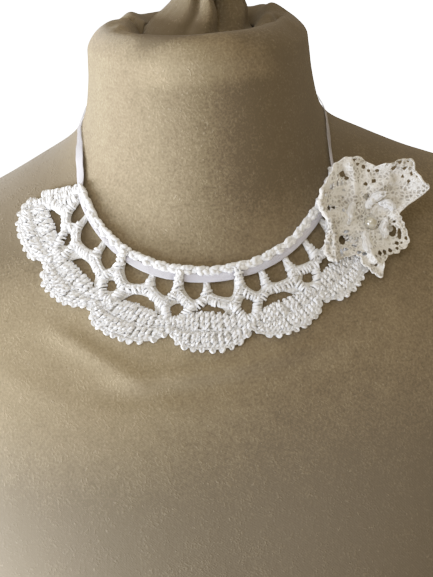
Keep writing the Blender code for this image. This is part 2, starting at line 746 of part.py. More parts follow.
def build_mesh(neckline):
    """The eyelet mesh between the band and the shells, cut through at every eyelet."""
    outline = mesh_outline(neckline)
    eyes = [eye_outline(neckline, join) for join in JOINS]
    cords = [point for point in mesh_cords(neckline) if inside(point[:2], outline)]
    flat = [Vector(point) for point in outline]
    edges = [(i, (i + 1) % len(outline)) for i in range(len(outline))]
    for eye in eyes:
        start = len(flat)
        flat += [Vector(point) for point in eye]
        edges += [(start + i, start + (i + 1) % len(eye)) for i in range(len(eye))]
    border = len(flat)
    flat += [Vector(point[:2]) for point in cords]
    spots, _, faces, came_from, _, _ = delaunay_2d_cdt(flat, edges, [], 0, 1e-5)
    kept = []
    for face in faces:
        centre = np.mean([spots[i] for i in face], axis=0)
        if inside(centre, outline) and not any(inside(centre, eye) for eye in eyes):
            kept.append(face)
    s, v = np.array(spots).T
    heights = np.full(len(spots), EDGE_HEIGHT)
    heights[(v < RIBBON_REACH)] = UNDER_RIBBON_HEIGHT
    for i, sources in enumerate(came_from):
        cord = [k - border for k in sources if k >= border]
        if cord:
            heights[i] = cords[cord[0]][2]
    mesh = bmesh.new()
    top = [mesh.verts.new(point * MM) for point in neckline.lay(s, v, heights)]
    bottom = [mesh.verts.new(point * MM) for point in neckline.lay(s, v, LIFT)]
    for face in kept:
        mesh.faces.new([top[i] for i in face])
        mesh.faces.new([bottom[i] for i in reversed(face)])
    pairs = dict(zip(top, bottom))
    for edge in [edge for edge in mesh.edges if edge.is_boundary and edge.verts[0] in pairs]:
        one, two = edge.verts
        loop = edge.link_loops[0]
        first, second = (two, one) if loop.vert == one else (one, two)
        mesh.faces.new((first, second, pairs[second], pairs[first]))
    loose = [vert for vert in mesh.verts if not vert.link_faces]
    bmesh.ops.delete(mesh, geom=loose, context="VERTS")
    return add_object("eyelet_mesh", "cotton", mesh)


def build_shell(neckline, index):
    """One fan of stitches, with its ribs raised on the outside and a picot at each rib's end."""
    name, tip = MIDDLES[index][0], MIDDLES[index][6]
    _, _, (left, left_drop), (right, right_drop) = shell_corners(index)
    columns = 2 * SHELL_RIBS + 1
    outer = []
    for part, base in SHELL_ROWS:
        places = []
        for j in range(columns):
            across = -1 + 2 * j / (columns - 1)
            top_s, top_v = shell_top(index, across)
            side = right_drop if across > 0 else left_drop
            low_s = (left + right) / 2 + across * (right - left) / 2
            low_v = side + (tip - side) * (1 - abs(across) ** SHELL_TIP_POWER)
            s = top_s * (1 - part) + low_s * part
            v = top_v * (1 - part) + low_v * part
            ridge = 1 if j % 2 else -1
            inner_side = 0 < j < columns - 1
            if part == 1.0 and inner_side:
                v += SHELL_PICOT / 2 * ridge
            if abs(across) == 1:
                s = neckline.beside(s, v, -across * SHELL_SIDE_GAP)
            height = base + (SHELL_RIDGE * ridge if inner_side else -SHELL_SIDE_DROP)
            places.append((s, v, height))
        outer.append(places)
    grid = np.array(outer)
    flat = grid.reshape(-1, 3)
    top = neckline.lay(flat[:, 0], flat[:, 1], flat[:, 2]).reshape(grid.shape)
    bottom = neckline.lay(flat[:, 0], flat[:, 1], LIFT).reshape(grid.shape)
    mesh = bmesh.new()
    grid_solid(mesh, top, bottom)
    return add_object(name, "cotton", mesh)


def ribbon_sections(points, normals, widths):
    """Flat sections across a ribbon that lies on its route."""
    ahead = np.gradient(points, axis=0)
    ahead /= np.linalg.norm(ahead, axis=1, keepdims=True)
    across = np.cross(normals, ahead)
    across /= np.linalg.norm(across, axis=1, keepdims=True)
    half = RIBBON_THICKNESS / 2
    sections = []
    for point, normal, side, width in zip(points, normals, across, widths):
        reach = side * width / 2
        sections.append([point - reach - normal * half, point - reach + normal * half,
                         point + reach + normal * half, point + reach - normal * half])
    return sections


def build_ribbon_front(neckline):
    """The stretches of ribbon that lie over the posts in front."""
    for name, start, end, v, width, height in RIBBON_FRONT:
        stations = np.linspace(start, end, round((end - start) / RIBBON_STEP) + 1)
        sections = []
        for s in stations:
            corners = [(v - width / 2, height), (v - width / 2, height + RIBBON_THICKNESS),
                       (v + width / 2, height + RIBBON_THICKNESS), (v + width / 2, height)]
            drop, high = np.array(corners).T
            sections.append(neckline.lay(np.full(4, s), drop, high))
        mesh = bmesh.new()
        swept_solid(mesh, sections)
        add_object(name, "satin", mesh)


def build_ribbon_side(neckline, name, table, side):
    """One side of the ribbon, up the neck and round to the knot."""
    end = side * (neckline.half - KNOT_SIZE[0] / 2 - KNOT_GAP)
    rows = table + [(end, RIBBON_BACK_LEVEL, table[-1][2])]
    length = [0.0]
    for (s1, w1, _), (s2, w2, _) in zip(rows, rows[1:]):
        length.append(length[-1] + math.hypot(s2 - s1, w2 - w1))
    route = Spline(length, rows)
    count = round(length[-1] / RIBBON_STEP) + 1
    s, below, widths = route(np.linspace(0, length[-1], count)).T
    points = neckline.over_form(s, below, RIBBON_SIDE_HEIGHT)
    normals = neckline.form.normal(*neckline.spot(s, below))
    mesh = bmesh.new()
    swept_solid(mesh, ribbon_sections(points, normals, widths))
    return add_object(name, "satin", mesh)


def back_frame(neckline):
    """The place of the knot on the form's back, and the outward direction there."""
    point = neckline.over_form(neckline.half, RIBBON_BACK_LEVEL, 0.0)[0]
    normal = neckline.form.normal(*neckline.spot(neckline.half, RIBBON_BACK_LEVEL))[0]
    return point, normal


def build_knot(neckline):
    """The tied knot: a rounded block that stands on the back of the neck."""
    point, normal = back_frame(neckline)
    width, height, depth = KNOT_SIZE
    up = np.array([0.0, 0.0, 1.0])
    up = up - normal * float(up @ normal)
    up /= np.linalg.norm(up)
    side = np.cross(up, normal)
    mesh = bmesh.new()
    bmesh.ops.create_cube(mesh, size=1.0)
    bmesh.ops.bevel(mesh, geom=mesh.edges[:], offset=KNOT_BEVEL, segments=2, affect="EDGES")
    centre = point + normal * (KNOT_LIFT + depth / 2)
    for vert in mesh.verts:
        x, y, z = vert.co
        vert.co = (centre + side * x * width + normal * y * depth + up * z * height) * MM
    return add_object("ribbon_knot", "satin", mesh)


def build_tails(neckline):
    """The two ends of the ribbon, hanging down the back from the knot."""
    form = neckline.form
    for name, side, length, splay in RIBBON_TAILS:
        count = round(length / RIBBON_STEP) + 1
        run = np.linspace(0, 1, count)
        start = KNOT_SIZE[1] / 2 + KNOT_GAP
        below = RIBBON_BACK_LEVEL + start + run * (length - start)
        reach = side * (TAIL_START + splay * run**TAIL_SPLAY_POWER)
        s = np.where(side < 0, neckline.half + reach, -neckline.half + reach)
        height = TAIL_HEIGHT + TAIL_SWELL * np.sin(run * math.pi)
        points = neckline.over_form(s, below, height)
        normals = form.normal(*neckline.spot(s, below))
        mesh = bmesh.new()
        swept_solid(mesh, ribbon_sections(points, normals, np.full(count, TAIL_WIDTH)))
        add_object(name, "satin", mesh)


class Rosette:
    """The rosette's own frame: its middle, its three directions and what lies under it."""

    def __init__(self, neckline, form_object):
        self.centre = neckline.over_form(FLOWER_PLACE[0], FLOWER_PLACE[1], 0.0)[0]
        normal = neckline.form.normal(*neckline.spot(*FLOWER_PLACE))[0]
        ahead = np.array([0.0, -1.0, 0.0])
        out = normal * (1 - FLOWER_TURN) + ahead * FLOWER_TURN
        self.out = out / np.linalg.norm(out)
        side = np.cross(np.array([0.0, 0.0, 1.0]), -self.out)
        self.side = -side / np.linalg.norm(side)
        self.up = np.cross(self.out, self.side)
        form_mesh = bmesh.new()
        form_mesh.from_mesh(form_object.data)
        self.below = BVHTree.FromBMesh(form_mesh)
        form_mesh.free()
        angles = np.radians([row[0] for row in FLOWER_EDGE])
        turned = np.concatenate([angles - 2 * math.pi, angles, angles + 2 * math.pi])
        self.reach = Spline(turned, np.tile([row[1] for row in FLOWER_EDGE], 3))
        self.lift = Spline(turned, np.tile([row[2] for row in FLOWER_EDGE], 3))

    def ground(self, x, y):
        """Height of the form below a place on the rosette, along its own axis."""
        start = self.point(x, y, LOOK_FROM)
        hit, _, _, distance = self.below.ray_cast(Vector(start * MM), Vector(-self.out))
        return LOOK_FROM - distance / MM if hit else -LOOK_FROM

    def wall(self, x, y):
        """Height of the lace wall's underside: it lifts to the edge and clears what lies below."""
        angle = math.atan2(y, x)
        reach = float(self.reach(angle))
        part = max(math.hypot(x, y) - FLOWER_EYE, 0.0) / (reach - FLOWER_EYE)
        wave = FLOWER_WAVE * math.sin(FLOWER_WAVES * angle + FLOWER_WAVE_START) * part
        lift = (float(self.lift(angle)) - FLOWER_DISH) * part**FLOWER_LIFT_POWER
        return max(FLOWER_CLEARANCE + lift + wave, self.ground(x, y) + FLOWER_CLEARANCE)

    def point(self, x, y, z):
        return self.centre + self.side * x + self.up * y + self.out * z


def build_flower(rosette):
    """The gathered lace ring: a waved wall, open in the middle under the pearl."""
    outer, inner = [], []
    angles = np.arange(FLOWER_SEGMENTS) * 2 * math.pi / FLOWER_SEGMENTS
    for part in FLOWER_RINGS:
        top_row, low_row = [], []
        for angle in angles:
            reach = FLOWER_EYE + (float(rosette.reach(angle)) - FLOWER_EYE) * part
            x, y = reach * math.cos(angle), reach * math.sin(angle)
            low = rosette.wall(x, y)
            low_row.append(rosette.point(x, y, low))
            top_row.append(rosette.point(x, y, low + FLOWER_WALL))
        outer.append(top_row)
        inner.append(low_row)
    mesh = bmesh.new()
    sheets = [[[mesh.verts.new(point * MM) for point in row] for row in sheet]
              for sheet in (outer, inner)]
    for sheet in sheets:
        for one, two in zip(sheet, sheet[1:]):
            for i in range(FLOWER_SEGMENTS):
                j = (i + 1) % FLOWER_SEGMENTS
                mesh.faces.new((one[i], one[j], two[j], two[i]))
    for row in (0, -1):
        for i in range(FLOWER_SEGMENTS):
            j = (i + 1) % FLOWER_SEGMENTS
            top, low = sheets[0][row], sheets[1][row]
            mesh.faces.new((top[i], top[j], low[j], low[i]))
    return add_object("flower_lace", "lace", mesh)


def build_flower_loops(rosette):
    """The folded loops of cord round the pearl, each a fat bent bar on the lace."""
    for name, angle, distance, half, direction in FLOWER_LOOPS:
        middle = np.array([math.cos(math.radians(angle)), math.sin(math.radians(angle))]) * distance
        way = math.radians(direction)
        along = np.array([math.cos(way), math.sin(way)])
        across = np.array([-along[1], along[0]])
        sections = []
        for part in np.linspace(-1, 1, LOOP_SECTIONS):
            x, y = middle + along * half * part + across * LOOP_BEND * (1 - part * part)
            radius = LOOP_RADIUS * (1 - LOOP_THINNING * part * part)
            z = rosette.wall(x, y) + FLOWER_WALL + LOOP_SEAT + LOOP_RADIUS
            ring = []
            for k in range(LOOP_SIDES):
                round_way = 2 * math.pi * k / LOOP_SIDES
                side = across * radius * math.cos(round_way)
                ring.append(rosette.point(x + side[0], y + side[1], z + radius * math.sin(round_way)))
            sections.append(ring)
        mesh = bmesh.new()
        swept_solid(mesh, sections)
        add_object("flower_loop_" + name, "lace", mesh)


def build_pearl(rosette):
    """The pearl, seated in the rosette's open middle."""
    mesh = bmesh.new()
    bmesh.ops.create_icosphere(mesh, subdivisions=2, radius=PEARL_RADIUS * MM)
    turns = [2 * math.pi * k / PEARL_TOUCHES for k in range(PEARL_TOUCHES)]
    rim = max(rosette.wall(FLOWER_EYE * math.cos(turn), FLOWER_EYE * math.sin(turn)) for turn in turns)
    seat = math.sqrt(PEARL_RADIUS**2 - FLOWER_EYE**2) + SEAM
    centre = rosette.point(0.0, 0.0, rim + FLOWER_WALL + seat)
    bmesh.ops.translate(mesh, verts=mesh.verts, vec=Vector(centre * MM))
    return add_object("pearl", "pearl", mesh)


def main():
    clear_scene()
    form = DressForm()
    neckline = Neckline(form)
    form_object = build_form(form)
    build_gather(form)
    build_band(neckline)
    build_mesh(neckline)
    for index in range(len(MIDDLES)):
        build_shell(neckline, index)
    build_ribbon_front(neckline)
    build_ribbon_side(neckline, "ribbon_side_left", RIBBON_LEFT, -1)
    build_ribbon_side(neckline, "ribbon_side_right", RIBBON_RIGHT, 1)
    build_knot(neckline)
    build_tails(neckline)
    rosette = Rosette(neckline, form_object)
    build_flower(rosette)
    build_flower_loops(rosette)
    build_pearl(rosette)


main()
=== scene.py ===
# %% [markdown]
# # A crochet choker on a dress form
# A cotton collar lies on a dress form covered with jersey. A braided band runs round the neckline,
# a mesh of eyelets hangs from it, and seven fans of stitches end in picots. A satin ribbon is
# threaded under the band and ties behind the neck, and a gathered lace rosette with a pearl is sewn
# over one end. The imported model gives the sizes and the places, and this file gives the looks.

# %% Load the model
import math
from collections import namedtuple

import bmesh
import bpy
import numpy as np
from mathutils import Matrix, Vector
from mathutils.bvhtree import BVHTree


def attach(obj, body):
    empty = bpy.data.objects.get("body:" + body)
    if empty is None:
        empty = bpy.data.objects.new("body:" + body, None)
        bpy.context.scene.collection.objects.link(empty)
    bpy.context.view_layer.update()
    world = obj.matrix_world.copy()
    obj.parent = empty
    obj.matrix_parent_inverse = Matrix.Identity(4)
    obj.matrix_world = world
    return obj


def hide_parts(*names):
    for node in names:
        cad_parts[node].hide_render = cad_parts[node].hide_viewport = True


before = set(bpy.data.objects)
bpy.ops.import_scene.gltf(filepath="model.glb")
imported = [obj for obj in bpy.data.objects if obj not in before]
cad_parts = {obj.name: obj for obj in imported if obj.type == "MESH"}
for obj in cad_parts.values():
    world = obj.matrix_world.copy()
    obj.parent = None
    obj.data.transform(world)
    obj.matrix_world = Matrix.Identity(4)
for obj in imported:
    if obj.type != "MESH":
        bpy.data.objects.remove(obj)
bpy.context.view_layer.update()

MM = 0.001

# %% [markdown]
# ## The camera
# The photograph looks down on the neck a little from the left, held slightly askew. The lens is
# long enough that the form isn't distorted. The image's height is the long side, so it is the side
# that a sensor of 36 mm spans.

# %% Camera
IMAGE = (433, 577)
FOCAL_PIXELS = 1238.0
SENSOR = 36.0
# Where the camera stands, and the point of the form that it was aimed past, in millimetres.
CAMERA_PLACE = Vector((-43.8, -615.9, 608.2))
CAMERA_AIM = Vector((0.0, 10.4, 440.0))
CAMERA_ROLL = math.radians(4.2)
# The aimed point's place in the photograph, from its middle, in pixels.
AIM_OFFSET = (-9.0, -111.0)


def link_new(name, data):
    """A new object of the scene, with this data."""
    made = bpy.data.objects.new(name, data)
    bpy.context.scene.collection.objects.link(made)
    return made


def make_camera():
    """A camera at the photograph's place, turned so that no lens shift is needed."""
    data = bpy.data.cameras.new("camera")
    data.sensor_width = SENSOR
    data.lens = FOCAL_PIXELS / IMAGE[1] * SENSOR
    data.clip_start, data.clip_end = 0.01, 60.0
    ahead = (CAMERA_AIM - CAMERA_PLACE).normalized()
    right = ahead.cross(Vector((0, 0, 1))).normalized()
    up = right.cross(ahead)
    roll = Matrix.Rotation(CAMERA_ROLL, 3, ahead)
    right, up = roll @ right, roll @ up
    aside = right * AIM_OFFSET[0] / FOCAL_PIXELS
    above = up * AIM_OFFSET[1] / FOCAL_PIXELS
    ahead = (ahead - aside + above).normalized()
    right = (right - ahead * right.dot(ahead)).normalized()
    up = right.cross(ahead)
    camera = link_new("camera", data)
    turn = Matrix((right, up, -ahead)).transposed().to_4x4()
    camera.matrix_world = Matrix.Translation(CAMERA_PLACE * MM) @ turn
    bpy.context.scene.camera = camera
    return camera


camera = make_camera()
print("lens", round(camera.data.lens, 1), "mm")

# %% [markdown]
# ## Materials as sums
# A finish is a small graph of nodes. Written by hand each sum needs a node, two links and a name,
# so a wire wraps a socket here: adding or multiplying wires adds the Math node. Everything else
# comes from one method that takes the node's type, its settings and what goes into it.

# %% Wires and finishes
class Wire:
    """A socket of a finish. Sums with wires or numbers add Math nodes."""

    def __init__(self, finish, socket):
        self.finish = finish
        self.socket = socket

    def __add__(self, other):
        return self.finish.maths("ADD", self, other)

    __radd__ = __add__

    def __sub__(self, other):
        return self.finish.maths("SUBTRACT", self, other)

    def __rsub__(self, other):
        return self.finish.maths("SUBTRACT", other, self)

    def __mul__(self, other):
        return self.finish.maths("MULTIPLY", self, other)

    __rmul__ = __mul__

    def __truediv__(self, other):
        return self.finish.maths("DIVIDE", self, other)

    def __pow__(self, other):
        return self.finish.maths("POWER", self, other)

    def sine(self):
        return self.finish.maths("SINE", self)

    def above(self, edge, softness):
        """0 below the edge and 1 above it, with a soft step between."""
        span = {"Value": self, 1: edge - softness, 2: edge + softness}
        return self.finish.node("MapRange", {"interpolation_type": "SMOOTHSTEP"}, span)


class Finish:
    """A material whose nodes are added one by one."""

    def __init__(self, name, roughness, **constants):
        self.material = bpy.data.materials.new(name)
        self.material.use_nodes = True
        self.tree = self.material.node_tree
        self.shader = self.tree.nodes["Principled BSDF"]
        self.shader.inputs["Roughness"].default_value = roughness
        for socket, value in constants.items():
            self.shader.inputs[socket.replace("_", " ")].default_value = value

    def node(self, kind, settings=None, inputs=None, output=0):
        """Add a node, set its settings, then fill its sockets with numbers or wires."""
        made = self.tree.nodes.new("ShaderNode" + kind)
        for key, value in (settings or {}).items():
            setattr(made, key, value)
        for key, value in (inputs or {}).items():
            if isinstance(value, Wire):
                self.tree.links.new(value.socket, made.inputs[key])
            else:
                made.inputs[key].default_value = value
        return Wire(self, made.outputs[output])

    def maths(self, operation, one, two=0.0):
        return self.node("Math", {"operation": operation}, {0: one, 1: two})

    def mix(self, share, one, two):
        """A colour between two colours."""
        return self.node("Mix", {"data_type": "RGBA"}, {0: share, 6: one, 7: two}, output=2)

    def noise(self, place, scale, detail=2.0):
        """Cloudy noise from 0 to 1, at a scale in features per metre."""
        return self.node("TexNoise", None, {"Vector": place, "Scale": scale, "Detail": detail})

    def place(self):
        """The place on the piece, in object coordinates."""
        return self.node("TexCoord", output=3)

    def stretched(self, place, scale):
        return self.node("VectorMath", {"operation": "MULTIPLY"}, {0: place, 1: scale})

    def parts(self, vector):
        """The three numbers of a vector."""
        split = self.node("SeparateXYZ", None, {0: vector})
        return [Wire(self, socket) for socket in split.socket.node.outputs]

    def uv(self, name):
        """The two coordinates of one of the piece's UV maps."""
        return self.parts(self.node("UVMap", {"uv_map": name}))[:2]

    def into(self, socket, wire):
        self.tree.links.new(wire.socket, self.shader.inputs[socket])

    def raise_by(self, height, depth):
        """Turn a height from 0 to 1 into relief of a real depth, in metres."""
        bump = self.node("Bump", None, {"Height": height, "Distance": depth, "Strength": 1.0})
        self.into("Normal", bump)


def colour(red, green, blue):
    return (red, green, blue, 1.0)


print("wires ready")

# %% [markdown]
# ## Cotton, satin, lace, pearl and jersey
# Mercerised cotton is white with a slight gloss, and its plies show as slanting ridges, so their
# relief follows the yarn's own UV map. Satin has fine lines along its length. The jersey is a matt
# beige knit with pale specks of fluff, which come from noise in object coordinates.

# %% Cotton yarn
PLIES = 3


def cotton_finish(name, tint, shade):
    """Plied yarn: ridges that wind along each length, with painted shade in the valleys between
    them.
    """
    cotton = Finish(name, 0.62, Sheen_Weight=0.1, Sheen_Roughness=0.5, Subsurface_Weight=0.3,
                    Subsurface_Radius=(1.0, 1.0, 1.0), Subsurface_Scale=0.0012)
    along, around = cotton.uv("yarn")
    twist = (2 * math.pi * (along + around * float(PLIES))).sine() * 0.5 + 0.5
    fuzz = cotton.noise(cotton.place(), 2600.0)
    cloud = cotton.noise(cotton.place(), 60.0)
    # Painted shade: the valleys between the plies take the darker colour.
    base = cotton.mix(twist ** 0.6 * 0.75 + cloud * 0.25, shade, tint)
    cotton.into("Base Color", base)
    cotton.raise_by(twist ** 0.5 * 0.8 + fuzz * 0.2, 0.00016)
    return cotton.material


COTTON = cotton_finish("cotton_yarn", colour(0.93, 0.95, 0.99), colour(0.74, 0.755, 0.80))
SEWING = cotton_finish("sewing_thread", colour(0.88, 0.875, 0.86), colour(0.72, 0.71, 0.69))


def ground_finish():
    """The matted inside of the stitches, which has lumps of yarn but no clear lengths."""
    ground = Finish("cotton_ground", 0.8, Sheen_Weight=0.1, Sheen_Roughness=0.5)
    lumps = ground.noise(ground.place(), 950.0, 3.0)
    strands = ground.noise(ground.stretched(ground.place(), (1.0, 0.35, 1.0)), 1900.0)
    height = lumps * 0.65 + strands * 0.35
    shade, tint = colour(0.50, 0.48, 0.44), colour(0.92, 0.915, 0.90)
    # Painted shade: the low parts of the relief take the darker colour.
    ground.into("Base Color", ground.mix(height * 1.6 - 0.3, shade, tint))
    ground.raise_by(height, 0.0014)
    return ground.material


GROUND = ground_finish()

# %% Satin
# Where the long ribbon is doubled and lies flat under the band, as shares of its length.
SATIN_FRONT = (0.268, 0.700)
# Fine lines across the ribbon and ribs of its edges along it, as turns of a sine in radians.
SATIN_LINES = 260.0
SATIN_RIBS = 900.0


def satin_finish(name, doubled):
    """Glossy ribbon: a cool white with fine lines along its length and tighter woven edges.

    Where it isn't doubled it is thin, and lets some of what is under it through.
    """
    satin = Finish(name, 0.34, Sheen_Weight=0.1, Specular_IOR_Level=0.6)
    along, across = satin.uv("strip")
    lines = (across * SATIN_LINES).sine() * 0.5 + 0.5
    edge = ((across - 0.5) * (across - 0.5) * 4.0).above(0.80, 0.06)
    cloud = satin.noise(satin.place(), 90.0)
    base = satin.mix(edge * 0.7 + cloud * 0.3, colour(0.51, 0.505, 0.59), colour(0.64, 0.64, 0.70))
    satin.into("Base Color", base)
    satin.into("Roughness", edge * 0.25 + 0.30 + cloud * 0.1)
    ribs = (along * SATIN_RIBS).sine() * edge
    satin.raise_by(lines * 0.4 + ribs * 0.4 + cloud * 0.5, 0.0001)
    if doubled:
        front = along.above(SATIN_FRONT[0], 0.012) * (1 - along.above(SATIN_FRONT[1], 0.012))
        satin.into("Alpha", front * 0.56 + 0.44)
    return satin.material


SATIN = satin_finish("satin_ribbon", False)
SHEER_SATIN = satin_finish("sheer_ribbon", True)

# %% Lace
def lace_finish():
    """Soft cotton lace: an uneven net of threads round small sunken cells, darkened with painted
    shade.
    """
    lace = Finish("cotton_lace", 0.8, Sheen_Weight=0.2, Sheen_Roughness=0.5, Subsurface_Weight=0.25,
                  Subsurface_Radius=(1.0, 1.0, 1.0), Subsurface_Scale=0.0012)
    uneven = lace.noise(lace.place(), 900.0, 3.0)
    cloud = lace.noise(lace.place(), 150.0, 3.0)
    net = {"Vector": lace.place(), "Scale": 470.0, "Randomness": 0.85}
    cells = lace.node("TexVoronoi", {"feature": "DISTANCE_TO_EDGE"}, net).above(0.20, 0.13)
    pits = cells * (cloud * 3.4 - 1.2)
    yellowed = lace.noise(lace.place(), 62.0, 2.0)
    lumps = (uneven - 0.5) * 1.2 + (yellowed - 0.5) * 1.6 + 0.55
    base = lace.mix(lumps, colour(0.56, 0.53, 0.48), colour(0.94, 0.94, 0.93))
    # Painted shade: the sunken cells are coloured dark brown.
    lace.into("Base Color", lace.mix(pits * 0.45, base, colour(0.36, 0.31, 0.24)))
    lace.into("Alpha", 1 - pits * 0.7)
    lace.raise_by(lumps * 0.5 - pits * 0.7, 0.0008)
    return lace.material


LACE = lace_finish()

# %% Pearl
def pearl_finish():
    """A lustrous bead: a cream body with faint bands of growth, under a clear coat."""
    pearl = Finish("pearl", 0.3, Coat_Weight=1.0, Coat_Roughness=0.1, Coat_IOR=3.0,
                   Specular_IOR_Level=0.8)
    cloud = pearl.noise(pearl.stretched(pearl.place(), (1.0, 1.0, 3.0)), 260.0, 3.0)
    shade, tint = colour(0.30, 0.285, 0.215), colour(0.52, 0.49, 0.41)
    pearl.into("Base Color", pearl.mix(cloud, shade, tint))
    pearl.into("Roughness", cloud * 0.1 + 0.24)
    return pearl.material


PEARL = pearl_finish()

# %% Jersey
# Columns and rows of knitted stitches, over the whole UV map.
WALES = 820.0
COURSES = 620.0


def jersey_finish():
    """Fine knitted cover: columns of stitches, uneven patches, painted light and shade and pale
    specks of fluff.
    """
    jersey = Finish("jersey", 0.92, Sheen_Weight=0.12, Sheen_Roughness=0.6)
    around, upwards = jersey.uv("knit")
    wales = (2 * math.pi * WALES * around).sine()
    courses = (2 * math.pi * COURSES * upwards).sine()
    knit = wales * courses * 0.5 + 0.5
    grain = jersey.noise(jersey.place(), 900.0, 3.0)
    mottle = jersey.noise(jersey.place(), 130.0, 4.0)
    patches = jersey.noise(jersey.stretched(jersey.place(), (1.0, 1.0, 0.15)), 45.0, 3.0)
    pills = grain.above(0.58, 0.07) * mottle.above(0.52, 0.06)
    flecks = jersey.stretched(jersey.place(), (1.0, 1.0, 0.8))
    fluff = jersey.noise(flecks, 640.0, 1.0).above(0.725, 0.04)
    # Parts of the form, by their side, depth and height in metres.
    across, behind, high = jersey.parts(jersey.place())
    # Painted light: the left of the chest is made paler, where the light falls on it.
    painted_chest_light = high.above(0.33, 0.03) * (1 - high.above(0.405, 0.02)) * (1 - across.above(-0.02, 0.06))
    # Painted shade: darker on the left shoulder's top, the bottom, the neck's right side and the
    # tuft's left flank.
    shoulder = high.above(0.415, 0.015) * (1 - across.above(-0.064, 0.006))
    low = 1 - high.above(0.335, 0.045)
    neck = high.above(0.438, 0.012) * across.above(0.005, 0.022)
    rear = behind.above(-0.036, 0.006)
    # Painted light: the top of the lip in front is made paler, as if lit from above.
    lip = high.above(0.4995, 0.004) * (1 - rear)
    tuft = (high.above(0.511, 0.008) * rear * across.above(-0.030, 0.006)
            * (1 - across.above(0.0, 0.005)))
    painted_shade = shoulder * 0.9 + low * 0.5 + neck * 0.45 + tuft * 0.8
    # Painted light is added to the random grain, mottle and patches, and painted shade is taken
    # off.
    pale = (grain * 1.25 + mottle * 0.4 + patches * 0.25 + painted_chest_light * 0.55 + lip * 0.4
            - painted_shade * 0.65 - 0.66)
    tone = jersey.mix(pale, colour(0.108, 0.079, 0.041), colour(0.290, 0.228, 0.135))
    # More painted shade: the bottom of the form is also greyed.
    tone = jersey.mix(low * 0.3, tone, colour(0.185, 0.172, 0.145))
    jersey.into("Base Color", jersey.mix(fluff * 0.25, tone, colour(0.36, 0.30, 0.21)))
    jersey.raise_by(knit * 0.08 + grain * 0.4 + pills * 0.2 + fluff * 0.3 + mottle * 0.4, 0.00035)
    return jersey.material


JERSEY = jersey_finish()

# %% Base board
def board_finish():
    """Painted wood under the form."""
    board = Finish("base_board", 0.6)
    rings = board.noise(board.stretched(board.place(), (1.0, 8.0, 1.0)), 30.0, 4.0)
    board.into("Base Color", board.mix(rings, colour(0.10, 0.075, 0.05), colour(0.16, 0.12, 0.08)))
    board.raise_by(rings, 0.0003)
    return board.material


BOARD = board_finish()
print("finishes", len(bpy.data.materials))

# %% [markdown]
# ## The form's surface
# The dress form is a stack of level sections, as a pattern maker measures a body: waist, bust,
# shoulder, neck. A spline runs through their sizes, so any height and angle gives a point. The
# collar, ribbon and rosette are all placed on this surface, and so it comes first.

# %% Sections of the form
# Columns: name, half width, depth in front, depth behind, height in front, at the side, behind,
# squareness. Millimetres.
FORM_RINGS = [
    ("waist", 124, 92, 84, 0, 0, 0, 2.3),
    ("ribs", 133, 101, 91, 70, 70, 70, 2.3),
    ("under_bust", 145, 116, 99, 140, 140, 140, 2.3),
    ("bust", 156, 130, 104, 205, 210, 215, 2.3),
    ("chest", 168, 118, 108, 275, 285, 295, 2.3),
    ("armpit", 180, 101, 109, 325, 345, 360, 2.25),
    ("shoulder", 184, 90, 104, 352, 388, 402, 2.2),
    ("tip", 172, 83, 96, 368, 408, 424, 2.1),
    ("slope", 134, 76, 84, 384, 425.5, 442, 2.05),
    ("trapezius", 96, 69, 75, 399, 443.5, 456, 2.0),
    ("neckline", 72, 63.5, 66, 413, 458, 467, 2.0),
    ("neck_root", 63.2, 60, 62, 425, 469, 476, 2.0),
    ("neck_low", 58.6, 58, 59, 447, 483, 487, 2.0),
    ("neck_middle", 56.6, 57, 57, 475, 496, 498, 2.0),
    ("rim_edge", 56, 56, 56, 500, 504, 504, 2.0),
    ("rim_round", 55.2, 55, 55, 508.5, 511.5, 511.5, 2.0),
    ("rim_top", 52, 52, 52, 516.8, 517.8, 517.8, 2.0),
    ("rim_inner", 46, 46, 46, 521.3, 521.6, 521.6, 2.0),
    ("hollow_edge", 38, 38, 38, 519.5, 520.5, 521, 2.0),
    ("hollow", 29, 29, 29, 513, 515, 517, 2.0),
]


class Spline:
    """A natural cubic spline through the rows of a table."""

    def __init__(self, knots, values):
        self.knots = np.asarray(knots, float)
        self.values = np.asarray(values, float)
        gaps = np.diff(self.knots)
        count = len(self.knots)
        system = np.eye(count)
        bends = np.zeros_like(self.values)
        for i in range(1, count - 1):
            system[i, i - 1:i + 2] = gaps[i - 1], 2 * (gaps[i - 1] + gaps[i]), gaps[i]
            ahead = (self.values[i + 1] - self.values[i]) / gaps[i]
            behind = (self.values[i] - self.values[i - 1]) / gaps[i - 1]
            bends[i] = 6 * (ahead - behind)
        self.bends = np.linalg.solve(system, bends)

    def __call__(self, at):
        at = np.clip(np.asarray(at, float), self.knots[0], self.knots[-1])
        i = np.clip(np.searchsorted(self.knots, at) - 1, 0, len(self.knots) - 2)
        gap = self.knots[i + 1] - self.knots[i]
        left = (self.knots[i + 1] - at) / gap
        right = (at - self.knots[i]) / gap
        bend_left = (left**3 - left) * gap**2 / 6
        bend_right = (right**3 - right) * gap**2 / 6
        if self.values.ndim > 1:
            left, right = left[..., None], right[..., None]
            bend_left, bend_right = bend_left[..., None], bend_right[..., None]
        straight = left * self.values[i] + right * self.values[i + 1]
        return straight + bend_left * self.bends[i] + bend_right * self.bends[i + 1]


